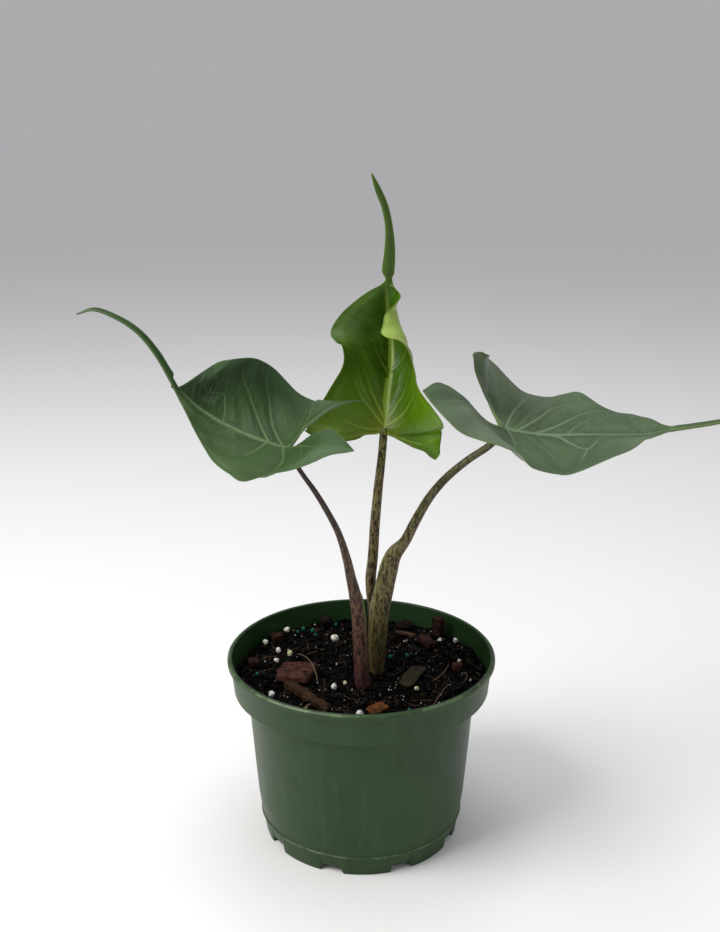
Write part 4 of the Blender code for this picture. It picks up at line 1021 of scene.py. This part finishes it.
# Whites go past 255 here and below, because they lie in the pot's shade.
PALE = ((270, 266, 258), (214, 206, 194))
PALE_SHARES = (0.6, 0.4)
place(mix_bed(mix_material("mix_bed", 0.55, 0.95, 0.0, 0.9)), "growing_mix", "growing_mix")
crumb_look = mix_material("mix_crumbs", 0.3, 0.9, 0.03, 0.7)
place(crumbs("mix_crumbs", 5200, (1.5, 0.42), 0.35, DARK, DARK_SHARES, crumb_look, 0.3), "growing_mix")
place(crumbs("mix_flakes", 620, (3.6, 0.32), 0.14, DARK, DARK_SHARES, crumb_look, 0.1), "growing_mix")
dust_look = mix_material("perlite_dust", 0.8, 0.95, 0.0, 0.3)
place(crumbs("perlite_dust", 260, (0.8, 0.35), 0.6, PALE, PALE_SHARES, dust_look, 0.0), "perlite")
place(fibres("mix_fibres", 420, mix_material("mix_fibres", 0.6, 0.85, 0.0, 0.3)), "fibre")


# ---------------------------------------------------------------- what lies on the mix
def node_box(name):
    low, high = (np.array(corner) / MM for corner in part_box(name))
    return (low + high) / 2, high - low


def joined(pieces):
    """Several (points, faces, tint) as one set."""
    count = np.cumsum([0] + [len(p) for p, _, _ in pieces])
    points = np.concatenate([p for p, _, _ in pieces])
    faces = np.concatenate([np.asarray(f) + n for (_, f, _), n in zip(pieces, count)])
    return points, faces, np.concatenate([t for _, _, t in pieces])


def lay(name, pieces, look, slot, nodes):
    """Pieces on or in the mix, as one mesh that stands for their nodes."""
    points, faces, tint = joined(pieces)
    place(mesh_object(name, points, faces, mix_material(*look), {"tint": tint}), slot, *nodes)


def rough_ball(name, seed, levels, bulge, pores, colour):
    """A grain that fills its node's box. bulge and pores: how deep its large and small unevenness is."""
    centre, size = node_box(name)
    points, faces = ball(levels)
    push = bulge * noise(points, 0.9, seed) + pores * noise(points, 0.3, seed + 1)
    points = points * (1 + push)[:, None]
    points = points / np.abs(points).max(0) * size / 2 * 0.98
    # Painted shade in the pits and painted light on the bumps: each point's colour follows how far it is
    # pushed out.
    shade = np.clip(1 + 1.6 * push, 0.6, 1.3)[:, None]
    return points + centre, faces, tone(colour) * shade


def turned(x, y, degrees):
    """x and y after a turn from the x axis towards the y axis."""
    c, s = math.cos(math.radians(degrees)), math.sin(math.radians(degrees))
    return x * c - y * s, x * s + y * c


def slab(name, size, turn, tilt, colour, spots, seed):
    """A chip with flattened sides, rough layers and its own turn, centred on its node's box."""
    centre, _ = node_box(name)
    points, faces = ball(5)
    power = 9.0  # 2 would leave it a ball, and more brings it nearer to a box
    points = points / (np.abs(points) ** power).sum(1)[:, None] ** (1 / power)
    outline = np.stack([points[:, 0], points[:, 1], 0 * points[:, 2]], -1)
    points[:, :2] *= (1 + 0.12 * noise(outline, 0.7, seed) + 0.05 * noise(outline, 0.22, seed + 5))[:, None]
    half = np.array(size) / 2
    points = points * half
    layers = 0.22 * noise(points * (0.35, 1.0, 3.0), 1.6, seed + 1) + 0.14 * noise(points, 0.8, seed + 2)
    points[:, 2] += layers * min(1.0, half[2])
    points[:, 0] += 0.2 * noise(points * (1, 1, 4), 1.4, seed + 3)
    blotch = 0.5 + 0.6 * noise(points, 2.6, seed + 4) + 0.6 * noise(points * (0.3, 1.0, 1.0), 0.7, seed + 6)
    blotch = np.clip(blotch, 0, 1)[:, None]
    tint = tone(colour) * (1 - blotch) + tone(spots) * blotch
    x, y, z = points.T
    x, z = turned(x, z, tilt)
    x, y = turned(x, y, turn)
    return np.stack([x, y, z], -1) + centre, faces, tint


def strand(name, route, r):
    """A thin fibre through places given as shares of the mix's radius and a height over its node's foot."""
    rows_long, sides = 60, 10
    centre, size = node_box(name)
    low = centre[2] - size[2] / 2
    rows = np.array([(x * SOIL_R, y * SOIL_R, low + r + h) for x, y, h in route])
    path, _ = curve(rows, rows_long)
    path = path + 0.25 * np.stack([noise(path, 3.0, 50 + k) for k in range(3)], -1) * (1, 1, 0.3)
    along = unit(np.gradient(path, axis=0))
    side = unit(np.cross(along, (0, 0, 1.0)))
    up = np.cross(side, along)
    turn = round_turn(sides)[:, None]
    thin_ends = np.interp(np.arange(rows_long), [0, 5, rows_long - 6, rows_long - 1], [0.3, 1, 1, 0.3])
    thick = r * (0.75 + 0.25 * noise(path, 4.0, 55)) * thin_ends
    ring = side[:, None] * np.cos(turn) + up[:, None] * np.sin(turn)
    points = (path[:, None] + ring * thick[:, None, None]).reshape(-1, 3)
    return points, tube_faces(rows_long, sides), np.tile(tone((146, 122, 100)), (len(points), 1))


def lay_rows(name, rows, seed, look, slot):
    """Chips from rows that each start with a node's name."""
    pieces = [slab(*row, seed + 9 * k) for k, row in enumerate(rows)]
    lay(name, pieces, look, slot, [row[0] for row in rows])


PERLITE_NODES = ["perlite_%02d" % (k + 1) for k in range(14)]
PRILL_NODES = ["fertiliser_%d" % (k + 1) for k in range(9)]
WHITES = ((292, 290, 282), (284, 280, 262), (296, 296, 290), (272, 262, 214))
TEAL = (16, 118, 96)
whites = itertools.cycle(WHITES)
grains = [rough_ball(node, 60 + k, 5, 0.3, 0.15, next(whites)) for k, node in enumerate(PERLITE_NODES)]
lay("perlite", grains, ("perlite", 0.85, 0.98, 0.0, 0.25), "perlite", PERLITE_NODES)
prills = [rough_ball(node, 90 + k, 4, 0.04, 0.01, TEAL) for k, node in enumerate(PRILL_NODES)]
lay("prills", prills, ("prills", 0.3, 0.5, 0.2, 0.1), "fertiliser", PRILL_NODES)

# Chips: node, length, width and thickness in mm, turn and tilt in degrees, colour, the colour of its spots.
BARK = [
    ("bark_chip_1", (20, 20, 4), -12, 4, (128, 84, 72), (44, 24, 22)),
    ("bark_chip_2", (7, 6, 4), 20, 0, (84, 52, 44), (48, 30, 26)),
    ("bark_chip_3", (5.5, 5, 4), 15, 0, (112, 74, 56), (60, 40, 34)),
    ("bark_chip_4", (16, 6, 3.5), -75, 4, (92, 56, 46), (48, 30, 26)),
    ("bark_chip_5", (7, 4, 12), -45, 0, (84, 56, 46), (44, 30, 26)),
    ("bark_chip_6", (6, 7, 3), 10, 0, (92, 60, 50), (50, 34, 30)),
    ("bark_strip_1", (40, 6, 3), -51, 0, (104, 76, 54), (34, 22, 16)),
    ("bark_strip_2", (13, 2.2, 1.8), -28, 0, (116, 86, 64), (66, 46, 36)),
]
lay_rows("bark", BARK, 120, ("bark", 0.6, 0.9, 0.02, 2.2), "bark")
CLODS = {"clod_1": (34, 25, 22), "clod_2": (38, 27, 24)}
clods = [rough_ball(node, 200 + 5 * k, 5, 0.3, 0.14, CLODS[node]) for k, node in enumerate(CLODS)]
lay("clods", clods, ("clods", 0.6, 0.95, 0.0, 1.0), "clod", CLODS)
LITTER = [
    ("leaf_litter_1", (25, 9, 1.4), 68, 0, (74, 70, 44), (48, 42, 30)),
    ("leaf_litter_2", (11, 8, 1.6), 35, 6, (148, 92, 50), (92, 56, 36)),
]
lay_rows("litter", LITTER, 230, ("litter", 0.5, 0.8, 0.05, 0.6), "leaf_litter")
# Fibres: node, places and heights along it, half thickness in mm.
STRANDS = [
    ("fibre_1", [(-0.53, 0.24, 0.6), (-0.46, 0.08, 5), (-0.39, -0.11, 6.4), (-0.335, -0.29, 0.6)], 0.35),
    ("fibre_2", [(0.71, 0.11, 0.8), (0.67, -0.06, 1.8), (0.56, -0.24, 1.6)], 0.35),
    ("fibre_3", [(0.825, -0.07, 0.6), (0.84, -0.155, 0.9), (0.80, -0.25, 0.4)], 0.3),
    ("fibre_4", [(0.685, -0.265, 0.3), (0.615, -0.43, 0.6), (0.545, -0.615, 0.4)], 0.4),
]
strands = [strand(*row) for row in STRANDS]
lay("strands", strands, ("strands", 0.55, 0.8, 0.0, 0.3), "fibre", [row[0] for row in STRANDS])
corm = rough_ball("corm", 260, 5, 0.1, 0.03, (96, 66, 46))
lay("corm_skin", [corm], ("corm", 0.7, 0.9, 0.0, 1.0), "corm", ["corm"])


# ---------------------------------------------------------------- floor, light and camera
FLOOR_END = 20000  # mm, far enough that its edge can't be seen
LIT_FROM = 0.2  # metres up: the lights face this height on the plant's axis


def area(name, where, side, power, colour):
    """A square soft light, in metres and watts, that faces the plant."""
    light = bpy.data.lights.new(name, "AREA")
    light.size = side
    light.energy = power
    light.color = colour
    obj = bpy.data.objects.new(name, light)
    obj.location = where
    x, y, z = where
    obj.rotation_euler = (math.atan2(math.hypot(x, y), z - LIT_FROM), 0.0, math.atan2(x, -y))
    bpy.context.scene.collection.objects.link(obj)


def floor_material():
    """Pale and even, and paler far away, so that it runs into the surround."""
    m = Nodes("floor_pale", Specular_IOR_Level=0.3)
    position = m.position()
    far = m.add("VectorMath", {0: position}, out=1, operation="LENGTH")
    rough = m.ramp(m.noise(position, 3.0, 2.0), 0.3, 0.7, 0.55, 0.65)
    return m.done(Base_Color=m.ramp(far, 1.0, 6.0, 0.9, 0.985), Roughness=rough)


floor_corners = [(x * FLOOR_END, y * FLOOR_END, 0) for x, y in ((-1, -1), (1, -1), (1, 1), (-1, 1))]
floor = mesh_object("floor", floor_corners, [(0, 1, 2, 3)], floor_material(), smooth=False)

bpy.context.scene.view_settings.view_transform = "Standard"
world = bpy.data.worlds.new("studio")
world.use_nodes = True
surround = world.node_tree.nodes["Background"].inputs
surround["Color"].default_value = (0.41, 0.41, 0.425, 1.0)
surround["Strength"].default_value = 1.0
bpy.context.scene.world = world
area("key", (-1.0, -0.5, 1.2), 0.9, 21.0, (1.0, 0.98, 0.95))
area("fill", (1.2, -0.9, 0.8), 0.8, 1.6, (0.96, 0.98, 1.0))
area("top", (0.1, 0.2, 1.5), 1.0, 7.0, (1.0, 1.0, 1.0))

# The photo's angle, from a script's fit to the rings of the pot that it shows.
camera = bpy.data.cameras.new("camera")
camera.lens = 44.42
camera.sensor_width = 36.0
camera_object = bpy.data.objects.new("camera", camera)
camera_object.location = (-0.0007, -0.599, 0.395)
camera_object.rotation_euler = (math.radians(73.53), 0.0, 0.0)
bpy.context.scene.collection.objects.link(camera_object)
bpy.context.scene.camera = camera_object
